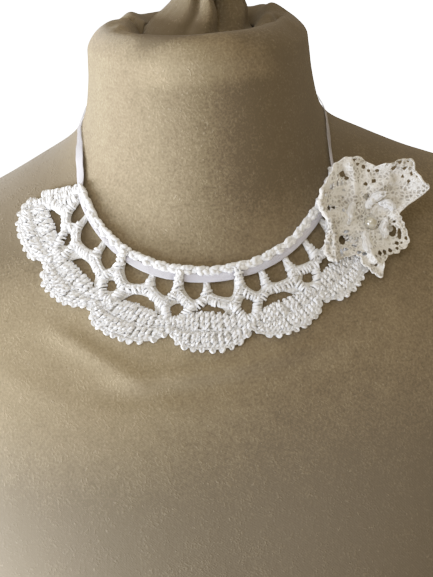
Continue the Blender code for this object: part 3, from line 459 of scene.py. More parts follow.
class DressForm:
    """The form's smooth surface, by level along its profile and angle from the front."""

    def __init__(self):
        rows = np.array([row[1:] for row in FORM_RINGS], float)
        side, front = rows[:, [0, 4]], rows[:, [1, 3]]
        steps = (np.linalg.norm(np.diff(side, axis=0), axis=1)
                 + np.linalg.norm(np.diff(front, axis=0), axis=1)) / 2
        self.knots = np.concatenate([[0.0], np.cumsum(steps)])
        self.sections = Spline(self.knots, rows)
        self.shift = 0.0
        turn = np.linspace(-math.pi, math.pi, 121)
        body = self.point(*np.meshgrid(np.linspace(0, self.knots[-1], 120), turn))
        self.shift = -(body[..., 1].min() + body[..., 1].max()) / 2

    def level(self, name):
        return self.knots[[row[0] for row in FORM_RINGS].index(name)]

    def point(self, level, angle):
        sizes = np.moveaxis(self.sections(level), -1, 0)
        half, front, behind, z_front, z_side, z_behind, square = sizes
        across, along = np.sin(angle), np.cos(angle)
        depth = np.where(along > 0, front, behind)
        x = half * np.sign(across) * np.abs(across) ** (2 / square)
        y = -depth * np.sign(along) * np.abs(along) ** (2 / square) + self.shift
        middle = (z_front + z_behind) / 2
        z = ((middle + z_side) / 2 + (z_front - z_behind) / 2 * along
             + (middle - z_side) / 2 * np.cos(2 * angle))
        return np.stack([x, y, z], axis=-1)

    def normal(self, level, angle):
        """The direction out of the surface, from two short steps on it."""
        small = 0.02
        up = self.point(level + small, angle) - self.point(level - small, angle)
        round_way = self.point(level, angle + small / 40) - self.point(level, angle - small / 40)
        normal = np.cross(round_way, up)
        return normal / np.linalg.norm(normal, axis=-1, keepdims=True)


form = DressForm()
print("form profile", round(form.knots[-1]), "mm, shifted", round(form.shift, 1), "mm")

# %% [markdown]
# ## The flat pattern of the collar
# The collar was worked flat. A place on it is (s, v): s runs along the neckline from the front, and
# v runs outwards from the band's top edge. Laying it on the form is a table look-up: the surface is
# sampled once on a fine net, and every yarn is then bent onto it with its height over the surface.

# %% Flat pattern to form
# The band's top edge. Columns: s, distance below the neckline.
BAND_PATH = [
    (-106, -8), (-84, -4), (-60, 1.5), (-35, 2.4), (0, 0), (30, -1), (60, -4.9), (90, -9),
]
# The net: columns round the form, steps of level in each, and rows every half millimetre between
# two distances below the neckline.
NET_COLUMNS = 721
NET_LEVELS = 360
NET_STEP = 0.5
NET_REACH = (-56.0, 66.0)


class Pattern:
    """Bends places of the flat collar onto the form."""

    def __init__(self, form):
        self.angles = np.radians(np.linspace(-180, 180, NET_COLUMNS))
        base = form.level("neckline")
        ring = form.point(np.full_like(self.angles, base), self.angles)
        lengths = np.concatenate([[0], np.cumsum(np.linalg.norm(np.diff(ring, axis=0), axis=1))])
        self.half = lengths[-1] / 2
        self.along = lengths - self.half
        levels = np.linspace(form.level("shoulder"), form.level("rim_edge"), NET_LEVELS)
        grid = form.point(*np.meshgrid(levels, self.angles, indexing="ij"))
        steps = np.linalg.norm(np.diff(grid, axis=0), axis=2)
        height = np.vstack([np.zeros(len(self.angles)), np.cumsum(steps, axis=0)])
        self.rows = np.arange(NET_REACH[0], NET_REACH[1], NET_STEP)
        net = []
        for column in height.T:
            below = np.interp(base, levels, column) - column
            net.append(np.interp(-self.rows, -below, levels))
        level = np.array(net).T
        angle = np.broadcast_to(self.angles, level.shape)
        self.points = form.point(level, angle)
        self.normals = form.normal(level, angle)
        self.path = Spline(*zip(*BAND_PATH))

    def look_up(self, table, s, below):
        """A value of the net between its knots."""
        column = np.interp(s, self.along, np.arange(len(self.along)))
        row = (below - self.rows[0]) / NET_STEP
        i = np.clip(row.astype(int), 0, len(self.rows) - 2)
        j = np.clip(column.astype(int), 0, len(self.along) - 2)
        down, over = (row - i)[..., None], (column - j)[..., None]
        upper = table[i, j] * (1 - over) + table[i, j + 1] * over
        lower = table[i + 1, j] * (1 - over) + table[i + 1, j + 1] * over
        return upper * (1 - down) + lower * down

    def over_form(self, s, below, height):
        """A place over the form, by its distance below the neckline."""
        s, below, height = np.broadcast_arrays(*(np.asarray(x, float) for x in (s, below, height)))
        place = self.look_up(self.points, s, below)
        return place + self.look_up(self.normals, s, below) * height[..., None]

    def lay(self, s, v, height):
        """A place over the form, by its distance v from the band's top edge."""
        s = np.asarray(s, float)
        return self.over_form(s, self.path(s) + v, height)

    def stretch(self, s, v):
        """Real length of one millimetre of s, at v."""
        s, v = np.broadcast_arrays(np.asarray(s, float), np.asarray(v, float))
        return np.linalg.norm(self.lay(s + 0.5, v, 0.0) - self.lay(s - 0.5, v, 0.0), axis=-1)

    def offset(self, s, v, way, across, along):
        """Places at real offsets from (s, v), along a way on the cloth and across it."""
        down = np.sin(way) * along + np.cos(way) * across
        side = np.cos(way) * along - np.sin(way) * across
        return s + side / self.stretch(s, v + down), v + down

    def way(self, one, two):
        """The real direction on the cloth from one place to another, and the distance."""
        s, v = (one[0] + two[0]) / 2, (one[1] + two[1]) / 2
        side = (two[0] - one[0]) * float(self.stretch(s, v))
        return math.atan2(two[1] - one[1], side), math.hypot(two[1] - one[1], side)


pattern = Pattern(form)
print("neckline", round(2 * pattern.half), "mm round")

# %% [markdown]
# ## Yarn
# Each length of yarn starts as a cone with equal ends, cut across into rings. An Array modifier
# repeats it, and each copy is bent along its own row of points. The rings keep square to the path
# by carrying one side vector along it, so the plies in the UV map don't jump.

# %% Bending yarn
chance = np.random.default_rng(11)


def straight_yarn(rings, sides, turns):
    """One straight length, with its UV map in turns of the plies."""
    mesh = bmesh.new()
    bmesh.ops.create_cone(mesh, cap_ends=True, segments=sides, radius1=1.0, radius2=1.0, depth=1.0)
    lengthwise = [edge for edge in mesh.edges if abs(edge.verts[0].co.z - edge.verts[1].co.z) > 0.5]
    bmesh.ops.subdivide_edges(mesh, edges=lengthwise, cuts=rings - 2)
    layer = mesh.loops.layers.uv.new("yarn")
    for face in mesh.faces:
        round_way = [math.atan2(loop.vert.co.y, loop.vert.co.x) / (2 * math.pi) % 1
                     for loop in face.loops]
        crosses = max(round_way) - min(round_way) > 0.5
        for loop, turn in zip(face.loops, round_way):
            loop[layer].uv = ((loop.vert.co.z + 0.5) * turns, turn + (crosses and turn < 0.5))
        face.smooth = True
    made = bpy.data.meshes.new("length")
    mesh.to_mesh(made)
    mesh.free()
    return made


def repeated(template, count):
    """A mesh of many copies of the template, made by an Array modifier."""
    item = link_new("row", template)
    array = item.modifiers.new("copies", "ARRAY")
    array.count = count
    array.use_relative_offset = False
    graph = bpy.context.evaluated_depsgraph_get()
    made = bpy.data.meshes.new_from_object(item.evaluated_get(graph))
    bpy.data.objects.remove(item)
    return made


def unit(vectors):
    return vectors / np.maximum(np.linalg.norm(vectors, axis=-1, keepdims=True), 1e-9)


def ramp(value, start, end):
    """A soft step from 0 at the start to 1 at the end."""
    share = np.clip((np.asarray(value, float) - start) / (end - start), 0, 1)
    return share * share * (3 - 2 * share)


def round_rings(points, radius, sides):
    """Rings of points round each row of points, in the rows' own units."""
    ahead = unit(np.gradient(points, axis=1))
    pick = np.eye(3)[np.argmin(np.abs(ahead[:, 0]), axis=-1)]
    side = unit(np.cross(ahead[:, 0], pick))
    carried = [side]
    for k in range(1, points.shape[1]):
        side = unit(side - np.sum(side * ahead[:, k], axis=-1, keepdims=True) * ahead[:, k])
        carried.append(side)
    side = np.stack(carried, axis=1)
    other = np.cross(ahead, side)
    turns = np.arange(sides) * 2 * math.pi / sides
    spread = (side[:, :, None] * np.cos(turns)[:, None]
              + other[:, :, None] * np.sin(turns)[:, None])
    radius = np.broadcast_to(np.asarray(radius, float), points.shape[:2])
    return points[:, :, None] + spread * radius[..., None, None]


# The length of yarn in which its plies turn once.
PLY_LENGTH = 2.6


def bent_yarn(points, radius, sides=6):
    """One mesh of yarns, from rows of points in millimetres with the same count in each row."""
    points = np.asarray(points, float)
    count, rings = points.shape[:2]
    length = float(np.linalg.norm(np.diff(points, axis=1), axis=-1).sum(axis=1).mean())
    template = straight_yarn(rings, sides, max(1.0, length / PLY_LENGTH))
    co = np.array([vert.co for vert in template.vertices])
    ring = np.rint((co[:, 2] + 0.5) * (rings - 1)).astype(int)
    side = np.rint(np.arctan2(co[:, 1], co[:, 0]) / (2 * math.pi) * sides).astype(int) % sides
    made = repeated(template, count)
    placed = round_rings(points, radius, sides)[:, ring, side] * MM
    made.vertices.foreach_set("co", placed.astype(np.float32).ravel())
    made.update()
    return made


def to_object(name, mesh, material):
    """A finished bmesh as an object of the scene."""
    made = bpy.data.meshes.new(name)
    mesh.to_mesh(made)
    mesh.free()
    made.materials.append(material)
    print(name, len(made.polygons), "faces")
    return link_new(name, made)


def joined(meshes):
    """One bmesh of several meshes, which are used up."""
    whole = bmesh.new()
    for mesh in meshes:
        whole.from_mesh(mesh)
        bpy.data.meshes.remove(mesh)
    return whole


def yarn_piece(name, meshes, material):
    """Lengths of yarn as one piece of the object."""
    piece = to_object(name, joined(meshes), material)
    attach(piece, "root")
    return piece


def jitter(size, amount):
    """Small random offsets, as hand work has them."""
    return chance.normal(0.0, amount, size)


# %% [markdown]
# ## Kinds of stitch
# Four yarn shapes make all the crochet. A wrapped bar is a cord with stitches worked over it, so
# short lengths arch across it side by side. A post is a few lengths twisted together. A chain is
# a row of pairs that open like a V. A picot is a small loop that stands at the edge.

# %% Stitches
# Radius of the yarn, and how far apart it arches over a bar.
YARN = 0.9
BAR_PITCH = 1.55
# An arch goes a little under its bar on both sides. By hand it comes out a little displaced, in
# millimetres, and askew, in radians.
ARCH_TURN = np.linspace(-0.14, 1.14, 9) * math.pi
ARCH_SHIFT = 0.14
ARCH_TILT = 0.14


def wrapped_bar(one, two, half, top=2.85, low=0.80, pitch=BAR_PITCH):
    """Arches of yarn side by side along the line from one place to another.

    Their feet are at low over the form and their crowns at top. Half is half their width, the
    same along the whole bar or one for each end.
    """
    way, length = pattern.way(one, two)
    count = max(2, round(length / pitch))
    part = (np.arange(count) + 0.5) / count
    s = (one[0] + (two[0] - one[0]) * part)[:, None]
    v = (one[1] + (two[1] - one[1]) * part)[:, None]
    half = np.interp(part, (0, 1), np.broadcast_to(half, 2))[:, None]
    half = half * (1 + jitter((count, 1), 0.08))
    rise = (top - low) * (1 + jitter((count, 1), 0.1))
    across = half * np.cos(ARCH_TURN)
    slant = 0.55 * np.cos(ARCH_TURN + jitter((count, 1), 0.35))
    along = slant + jitter((count, 1), ARCH_SHIFT)
    up = np.maximum(low + rise * np.sin(ARCH_TURN), low)
    place = pattern.offset(s, v, way + jitter((count, 1), ARCH_TILT), across, along)
    return bent_yarn(pattern.lay(*place, up), YARN * (1 + jitter((count, 1), 0.09)))


# How often the lengths of a post wind round each other, and their radius.
POST_TURNS = 0.7
POST_RADIUS = 0.82


def twisted_post(one, two, half, height, strands):
    """Lengths of yarn that run from one place to another and wind round each other."""
    way, length = pattern.way(one, two)
    part = np.linspace(0.0, 1.0, 12)
    start = np.arange(strands)[:, None] * 2 * math.pi / strands
    turn = start + POST_TURNS * 2 * math.pi * part + jitter((strands, 1), 0.2)
    across = half * np.cos(turn)
    s, v = pattern.offset(*one, way, across, length * part)
    up = height(v) + 0.42 * np.sin(turn)
    return bent_yarn(pattern.lay(s, v, up), POST_RADIUS * (1 + jitter((strands, 1), 0.05)))


# A chain's link starts this share of its length before its own place, inside the last link.
LINK_START = 0.25


def chain(places, height, half, radius, reach):
    """Pairs of yarn that open like a V from each place to the next.

    Reach is where a pair ends, as a share of the way to the next place.
    """
    places = np.asarray(places, float)
    rows = []
    part = np.linspace(-LINK_START, reach, 8)
    opening = np.sin((part + LINK_START) / (reach + LINK_START) * math.pi * 0.8)
    arch = 0.45 * np.sin(np.clip(part, 0, 1) * math.pi)
    for one, two in zip(places, places[1:]):
        way, length = pattern.way(one, two)
        for side in (-1.0, 1.0):
            across = side * half * np.clip(opening, 0.05, 1)
            s, v = pattern.offset(*one, way, across, length * part)
            up = height + arch - 0.9 * np.clip(part - 0.9, 0, 1)
            rows.append(pattern.lay(s, v, up + jitter(1, 0.05)))
    return bent_yarn(rows, radius)


PICOT_TURN = np.linspace(0.0, 1.0, 13) * 2 * math.pi


def picots(places, ways, size, height, radius):
    """Small loops that stand out from the edge, each in its own direction."""
    rows = []
    for (s, v), way in zip(places, ways):
        reach = size * (1 + jitter(1, 0.12))
        along = reach * (1 - np.cos(PICOT_TURN)) - 0.3
        across = 0.78 * reach * np.sin(PICOT_TURN) * (1 + 0.25 * np.cos(PICOT_TURN))
        up = height + 0.5 * np.cos(PICOT_TURN + jitter(1, 1.2)) + 0.25 * np.sin(along)
        place = pattern.offset(s, v, way + jitter(1, 0.3), across, along)
        rows.append(pattern.lay(*place, np.maximum(up, radius + 0.1)))
    return bent_yarn(rows, radius)


print("yarn", 2 * YARN, "mm thick")

# %% [markdown]
# ## Bent sheets
# Cloth that lies in a known shape starts as a flat grid with its UV map, and one function bends
# every point. That keeps the weave straight on the cloth, and a Solidify modifier gives the wall
# its thickness at the end.

# %% Grid to cloth
def bent_grid(columns, rows, uv, bend, closed=False):
    """A grid whose two coordinates run from 0 to 1, bent into place by a function."""
    mesh = bmesh.new()
    mesh.loops.layers.uv.new(uv)
    bmesh.ops.create_grid(mesh, x_segments=columns, y_segments=rows, size=0.5, calc_uvs=True)
    flat = np.array([vert.co for vert in mesh.verts])[:, :2] + 0.5
    for vert, place in zip(mesh.verts, bend(flat[:, 0], flat[:, 1]) * MM):
        vert.co = place
    if closed:
        bmesh.ops.remove_doubles(mesh, verts=mesh.verts, dist=1e-6)
    return mesh


def face_away(mesh, outward):
    """Turn all faces if most of them look against the outward direction of their middles."""
    mesh.normal_update()
    agrees = sum(face.normal.dot(Vector(outward(face.calc_center_median()))) for face in mesh.faces)
    if agrees < 0:
        bmesh.ops.reverse_faces(mesh, faces=mesh.faces[:])


def cloth_piece(name, mesh, material, thickness, offset=1.0, levels=0):
    """A sheet as a piece: its wall from Solidify, and smoother edges where it needs them."""
    for face in mesh.faces:
        face.smooth = True
    piece = to_object(name, mesh, material)
    wall = piece.modifiers.new("wall", "SOLIDIFY")
    wall.thickness = thickness * MM
    wall.offset = offset
    if levels:
        smooth = piece.modifiers.new("smooth", "SUBSURF")
        smooth.levels = smooth.render_levels = levels
    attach(piece, "root")
    return piece


def surface_area(mesh):
    return sum(face.calc_area() for face in mesh.faces)


# %% [markdown]
# ## The jersey cover
# The cover is a tube of fine jersey stretched over the form. It is taut, so its creases are few and
# soft: drag lines below the collar, others towards the arms and at the back, and a tied edge round
# the top of the neck. Each crease is a low ridge or trough along a curve, placed by angle and
# height. Over the neck's lip the cloth is looser, so its folds there are placed in plan, as they
# are seen from above.

# %% Creases and cover
# Columns: name, angles at start, middle and end, levels there, height (a trough is below 0), width.
CREASES = [
    ("left_drag", (-33, -21.5, -12), (417, 404, 387), 1.9, 5.5),
    ("middle_drag", (-15, -4, 13), (393, 396, 407), 2.1, 5.0),
    ("middle_trough", (-16, -3, 15), (382, 386, 396), -2.1, 5.0),
    ("faint_drag", (-6, 1.5, 9), (369, 372, 378), 0.9, 5.0),
    ("left_outer_drag", (-38, -29, -23), (390, 383, 379), 0.6, 6.0),
    ("right_outer_drag", (20, 30, 40), (372, 380, 392), 0.5, 7.0),
    ("left_arm", (-92, -80, -66), (352, 340, 336), 1.1, 8.0),
    ("right_arm", (64, 78, 92), (334, 341, 350), 1.0, 8.0),
    ("back_drag", (158, 180, 204), (398, 388, 397), 1.0, 7.0),
    ("back_trough", (156, 179, 205), (387, 377, 386), -0.8, 7.0),
    ("left_flank", (-118, -100, -84), (150, 168, 158), 0.8, 10.0),
    ("right_flank", (82, 101, 120), (172, 160, 176), 0.8, 10.0),
    ("throat_hollow", (-26, -16, -4), (489, 486.5, 485.5), -0.5, 3.5),
]
CREASE_TAPER = 2.0
# How far a crease's curve goes on past its ends, in degrees.
CREASE_OVERRUN = 8
# The tied edge round the top: a narrow trough at the cord, and the cloth puffed out above it.
# Columns: level below the rounded rim, height, width.
RIM_SHAPE = [(3.4, -0.12, 3.0), (-0.8, 0.3, 3.0)]
# Folds that lie over the neck's lip, seen from above. Columns: x and y (forwards) of one end, x and
# y of the other, height, width.
LIP_FOLDS = [
    (26, 20, 35.5, 18.5, -1.4, 2), (35.5, 18.5, 40.5, 7, -2.4, 1.8), (40.5, 7, 45, -6, -1.4, 2),
    (20, 18, 33, 8, 1.8, 4.5), (33, 8, 39, -10, 2.6, 6), (39, -10, 37, -24, 1.7, 6),
    (48, 12, 49, 0, -0.8, 6), (-38, -24, -31.5, -20, -1.4, 1.3), (-31.5, -20, -27, -8, -2.8, 1.5),
    (-32.5, -32.5, -25, -16, 2.4, 4.4), (-25, -16, -21, -5, 1.4, 3.6), (-44, 4, -42, -16, 0.7, 6),
    (-36, 10, -34, -12, 3.2, 5), (-8, -44, 16, -42, 1.4, 6), (22, 46, 44, 26, -2.4, 8),
    (-24, 46, 8, 50, -0.9, 9),
]
COVER_THICKNESS = 1.2
COVER_FACES = (210, 190)
# How the cover's rows are shared out: more of them where the neck turns into its hollow.
COVER_ROWS = [(0.0, "waist"), (0.44, "shoulder"), (0.70, "neck_root"), (0.80, "rim_edge"),
              (1.0, "hollow")]


def crease_height(level, angle):
    """Height of all creases over the smooth form."""
    degrees = np.degrees(angle)
    total = np.zeros_like(level)
    for _, turns, levels, height, width in CREASES:
        turn = (degrees - turns[1] + 180) % 360 - 180 + turns[1]
        within = np.clip(turn, turns[0] - CREASE_OVERRUN, turns[2] + CREASE_OVERRUN)
        curve = np.polyval(np.polyfit(turns, levels, 2), within)
        ends = 1 / (1 + np.exp(-(turn - turns[0]) / CREASE_TAPER))
        ends = ends / (1 + np.exp((turn - turns[2]) / CREASE_TAPER))
        total += height * ends * np.exp(-((level - curve) / width) ** 2)
    wander = 0.5 * np.sin(7 * angle) + 0.3 * np.sin(17 * angle + 1.0)
    for below, height, width in RIM_SHAPE:
        total += height * np.exp(-((level - form.level("rim_round") + below + wander) / width) ** 2)
    return total


def folded(x, y, folds):
    """Height at each place over flat cloth, of folds that run along short lines."""
    total = np.zeros_like(x)
    for x1, y1, x2, y2, height, width in folds:
        run = np.array([x2 - x1, y2 - y1])
        part = np.clip(((x - x1) * run[0] + (y - y1) * run[1]) / (run @ run), 0, 1)
        away = np.hypot(x - x1 - part * run[0], y - y1 - part * run[1])
        total += height * np.exp(-(away / width) ** 2)
    return total


def cover_bend(across, upwards):
    """A place of the cover."""
    angle = (across * 2 - 1) * math.pi
    shares, names = zip(*COVER_ROWS)
    level = np.interp(upwards, shares, [form.level(name) for name in names])
    height = crease_height(level, angle)
    place = form.point(level, angle) + form.normal(level, angle) * height[..., None]
    lift = folded(place[..., 0], form.shift - place[..., 1], LIP_FOLDS)
    place[..., 2] += lift * ramp(level, form.level("rim_edge") + 5.0, form.level("rim_top") + 2.0)
    return place


form_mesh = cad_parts["dress_form"].data
form_surface = BVHTree.FromPolygons([vert.co for vert in form_mesh.vertices],
                                    [face.vertices for face in form_mesh.polygons])


def away_from_form(place):
    return form_surface.find_nearest(place)[1]


cover_mesh = bent_grid(*COVER_FACES, "knit", cover_bend, closed=True)
face_away(cover_mesh, away_from_form)
cover_area = surface_area(cover_mesh)
cover = cloth_piece("jersey_cover", cover_mesh, JERSEY, COVER_THICKNESS, offset=-1.0)
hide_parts("dress_form")
print("cover", round(cover_area, 3), "m2")

# %% [markdown]
# ## The gathered end of the cover
# In the hollow the tube is bunched, and its raw end flares out again. Its folds are uneven, so
# the large ones are listed one by one and low flutes fill the rest. The wall goes up outside, turns
# over at the raw edge and comes down inside, which closes it without a lid.

# %% Gathered end
# Columns: height over the hollow, radius, depth of the flutes.
GATHER_PROFILE = [
    (-1, 29.5, 0), (0.6, 27.4, 0.3), (3.5, 25.6, 1), (8.5, 22.9, 1.6), (14, 19, 1.8),
    (19.5, 15.2, 2), (27, 13.6, 2.2), (34, 15.4, 2.8), (40.6, 20, 3.6), (41.2, 19, 3.6),
    (36, 14.2, 3), (27, 9, 1.6), (19, 5, 0.6),
]
# Columns: angle in the hollow, twist up to the tuft, height, width, in degrees and millimetres.
GATHER_FOLDS = [
    (2, 2, 3.4, 11), (28, -8, -9, 11), (54, 20, 2.6, 9), (73, 10, -2, 8), (91, 6, 2.2, 9),
    (-19, 4, -3.2, 9), (-64, 4, -1.6, 26), (112, 0, -1.8, 9), (130, -12, 2.6, 10),
    (152, 8, -2.2, 8), (178, 0, 2.4, 9), (-152, 10, -2.4, 8), (-128, -8, 2.2, 10),
    (-106, 6, -1.6, 8),
]
GATHER_HEIGHT = 41.0
HOLLOW_RADIUS = 29.0
TUFT_LEAN = 5.0
GATHER_FLUTES = 23
FLUTE_SHARE = 0.07
FOLD_SHARE = 0.42
GATHER_FACES = (216, 84)
GATHER_THICKNESS = 0.8


def gather_bend(across, upwards):
    """A place of the gathered end."""
    profile = Spline(np.linspace(0, 1, len(GATHER_PROFILE)), GATHER_PROFILE)
    height, radius, depth = profile(upwards).T
    angle = (across * 2 - 1) * math.pi
    flutes = np.sin(GATHER_FLUTES * angle + 2.2 * np.sin(2 * angle))
    flutes *= 0.6 + 0.4 * np.sin(3 * angle + 1.0)
    folds = FLUTE_SHARE * flutes * depth
    for turn, twist, lift, width in GATHER_FOLDS:
        centre = turn + twist * np.clip(height / GATHER_HEIGHT, 0, 1)
        away = (np.degrees(angle) - centre + 180) % 360 - 180
        folds += FOLD_SHARE * lift * depth * np.exp(-(away / width) ** 2)
    lifts = folded(radius * np.sin(angle), radius * np.cos(angle), LIP_FOLDS)
    rim = form.point(np.full_like(angle, form.level("hollow")), angle)
    middle = rim[:, 2].mean()
    reach = radius + folds
    x = reach * np.sin(angle) + TUFT_LEAN * ramp(height, 2.0, 16.0)
    y = form.shift - reach * np.cos(angle)
    level = middle + (rim[:, 2] - middle) * np.clip(radius / HOLLOW_RADIUS, 0, 1)
    z = level + height + 0.25 * folds + lifts
    return np.stack([x, y, z], axis=-1)


gather_mesh = bent_grid(*GATHER_FACES, "knit", gather_bend, closed=True)
bmesh.ops.recalc_face_normals(gather_mesh, faces=gather_mesh.faces)
gather_area = surface_area(gather_mesh)
gathered_end = cloth_piece("gathered_end", gather_mesh, JERSEY, GATHER_THICKNESS, offset=-1.0)
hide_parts("neck_gather")
print("gathered end", round(gather_area, 4), "m2")

# %% [markdown]
# ## The braided band
# The upper edge is a chain that reads as a braid. A braid of three is simple maths: each strand
# swings across the band once a turn and over and under twice, a third of a turn after the last.

# %% Band
BAND_ENDS = (-87.6, 79.0)
BAND_WIDTH = 3.4
BRAID_TURN = 14.5
BRAID_RADIUS = 1.3
BRAID_SWING = 1.2
BRAID_HEIGHT = 2.05
BRAID_RISE = 0.6
# Hand-worked yarn swells at each stitch: the length of a stitch, in millimetres.
STITCH_SWELL = 2.3


def swollen(along, start, amount):
    """Factor for a yarn's radius that rises and sinks with the stitches along it."""
    wander = 1.3 * np.sin(along * 0.23 + start)
    return 1 + amount * np.sin(2 * math.pi * along / STITCH_SWELL + start + wander)


def make_band():
    """Three strands that wander a little, and a wrapped end on both sides."""
    s = np.linspace(*BAND_ENDS, 420)
    strands = []
    for k in range(3):
        turn = 2 * math.pi * (s / BRAID_TURN + k / 3) + 0.8 * np.sin(s * 0.13 + 2 * k)
        swing = BRAID_SWING + 0.35 * np.sin(s * 0.43 + 2 * k)
        v = BAND_WIDTH / 2 + 0.15 + swing * np.sin(turn)
        v = v + 0.16 * np.sin(s * 2.9 + 2 * k)
        up = BRAID_HEIGHT + BRAID_RISE * np.sin(2 * turn) + 0.14 * np.sin(s * 2.3 + k)
        strands.append(pattern.lay(s, v, up))
    ends = [wrapped_bar((s, 0.2), (s, BAND_WIDTH), 1.3, top=3.1) for s in BAND_ENDS]
    thick = BRAID_RADIUS * swollen(s, 2.1 * np.arange(3)[:, None], 0.1)
    braid = bent_yarn(strands, thick, sides=9)
    band = yarn_piece("braided_band", [braid, *ends], COTTON)
    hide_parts("neck_band")
    return band


band = make_band()

# %% [markdown]
# ## The eyelet mesh
# Posts hang from the band, a zigzag of bars joins them below, and legs go down on both sides of
# each small eye to the notch between two fans. The same stitch tables as in the model place them.
# A thin ground cloth under the yarn closes what isn't an eyelet. It is the underside of the model's
# own mesh, so its openings are exactly the ones that are cut through.

# %% Stitch tables
# Stitch columns between two fans: post (s at the band), knot (s) and drop (v) where it meets the
# zigzag, eye (s), eye_drop (v) and width of the eye, tie (s between the fans), foot (s) and
# foot_drop (v) of the notch.
Join = namedtuple("Join", "post knot drop eye eye_drop width tie foot foot_drop")
JOINS = [
    Join(-74.5, -73.5, 11.8, -72.5, 20.0, 7.4, -68.6, -69.2, 35.0),
    Join(-47.0, -44.8, 11.4, -42.6, 20.9, 8.6, -39.6, -42.4, 34.2),
    Join(-19.9, -18.4, 11.8, -16.2, 22.1, 9.6, -16.0, -14.8, 34.4),
    Join(6.4, 5.6, 11.6, 6.3, 21.6, 8.8, 5.8, 5.0, 33.9),
    Join(29.4, 27.2, 13.6, 31.2, 21.2, 9.8, 28.6, 27.4, 34.8),
    Join(55.5, 54.0, 13.5, 54.0, 21.4, 8.6, 52.0, 51.0, 35.0),
]
# Columns over the middle of each fan, with the v of its upper edge (crown) and outer edge (tip).
Middle = namedtuple("Middle", "name post knot drop crown tip")
MIDDLES = [
    Middle("shell_1", -84.4, -84.0, 13.0, 24.0, 41.6),
    Middle("shell_2", -58.4, -56.8, 13.2, 24.6, 41.8),
    Middle("shell_3", -31.4, -29.4, 13.2, 25.0, 43.6),
    Middle("shell_4", -7.8, -7.2, 13.8, 22.9, 40.8),
    Middle("shell_5", 16.9, 15.2, 15.6, 25.0, 40.6),
    Middle("shell_6", 41.9, 39.6, 15.2, 24.8, 41.4),
    Middle("shell_7", 68.5, 67.0, 14.0, 24.4, 41.0),
]
# The collar's two ends: s at the band, tie (s under the mesh), s and v at the corner.
LEFT_END = (-91.4, -101.0, -103.6, 33.5)
RIGHT_END = (79.4, 86.0, 88.0, 33.5)
JOIN_DROP = 28.0
MESH_TOP = BAND_WIDTH + 0.3
BAR_HALF = 1.9
EYE_RISE = 1.6
RIBBON_REACH = 9.6
# The posts that the ribbon goes under, by their place at the band.
THREADED_POSTS = (-47.0, -19.9, 6.4)
OVER_RIBBON, UNDER_RIBBON, ON_CLOTH = 3.35, 1.2, 2.1


def post_height(threaded):
    """The height of a post's middle along its length: over the ribbon or under it."""
    near = OVER_RIBBON if threaded else UNDER_RIBBON
    return lambda v: near + (ON_CLOTH - near) * ramp(v, RIBBON_REACH - 1.5, RIBBON_REACH + 1.5)


def columns():
    """Post, knot and drop of every stitch column, from the left end."""
    return sorted([middle[1:4] for middle in MIDDLES] + [join[:3] for join in JOINS])


def eye_sides():
    """Where the zigzag turns below, on both sides of each eye."""
    turns = []
    for join in JOINS:
        v = join.eye_drop - EYE_RISE
        reach = (join.width / 2 + BAR_HALF + 0.45) / float(pattern.stretch(join.eye, v))
        turns.append(((join.eye - reach, v), (join.eye + reach, v)))
    return turns


def zigzag():
    """Every bar of the zigzag: the knot and drop at its top, and the turn at its foot."""
    rows, turns = columns(), eye_sides()
    for i, pair in enumerate(zip(rows, rows[1:])):
        for _, knot, drop in pair:
            yield knot, drop, turns[i // 2][i % 2]


# %% Bars and posts
# Half width and count of lengths of a plain post, and of one that crosses over the ribbon.
PLAIN_POST = (0.8, 3)
THREADED_POST = (1.25, 4)
ZIGZAG_HALF = 1.75
# Half the width of an eye's foot between its legs, and of the bar that closes it.
LEG_SPREAD = 2.4
FOOT_SPREAD = 3.4


def make_posts():
    """Twisted posts that flare into the zigzag, wrapped over the ribbon where they cross it."""
    yarns = []
    for post, knot, drop in columns():
        threaded = post in THREADED_POSTS
        half, strands = THREADED_POST if threaded else PLAIN_POST
        top, low = (post, MESH_TOP - 1.4), (knot, drop + 1.2)
        yarns.append(twisted_post(top, low, half, post_height(threaded), strands))
        flare = (knot * 0.4 + post * 0.6, RIBBON_REACH + 0.2)
        yarns.append(wrapped_bar(flare, (knot, drop + 1.4), (half + 0.4, 2.6)))
        if threaded:
            one, two = (post, MESH_TOP + 0.6), (knot, drop - 1.0)
            yarns.append(wrapped_bar(one, two, half + 0.4, top=4.1, low=2.8, pitch=2.3))
    return yarns


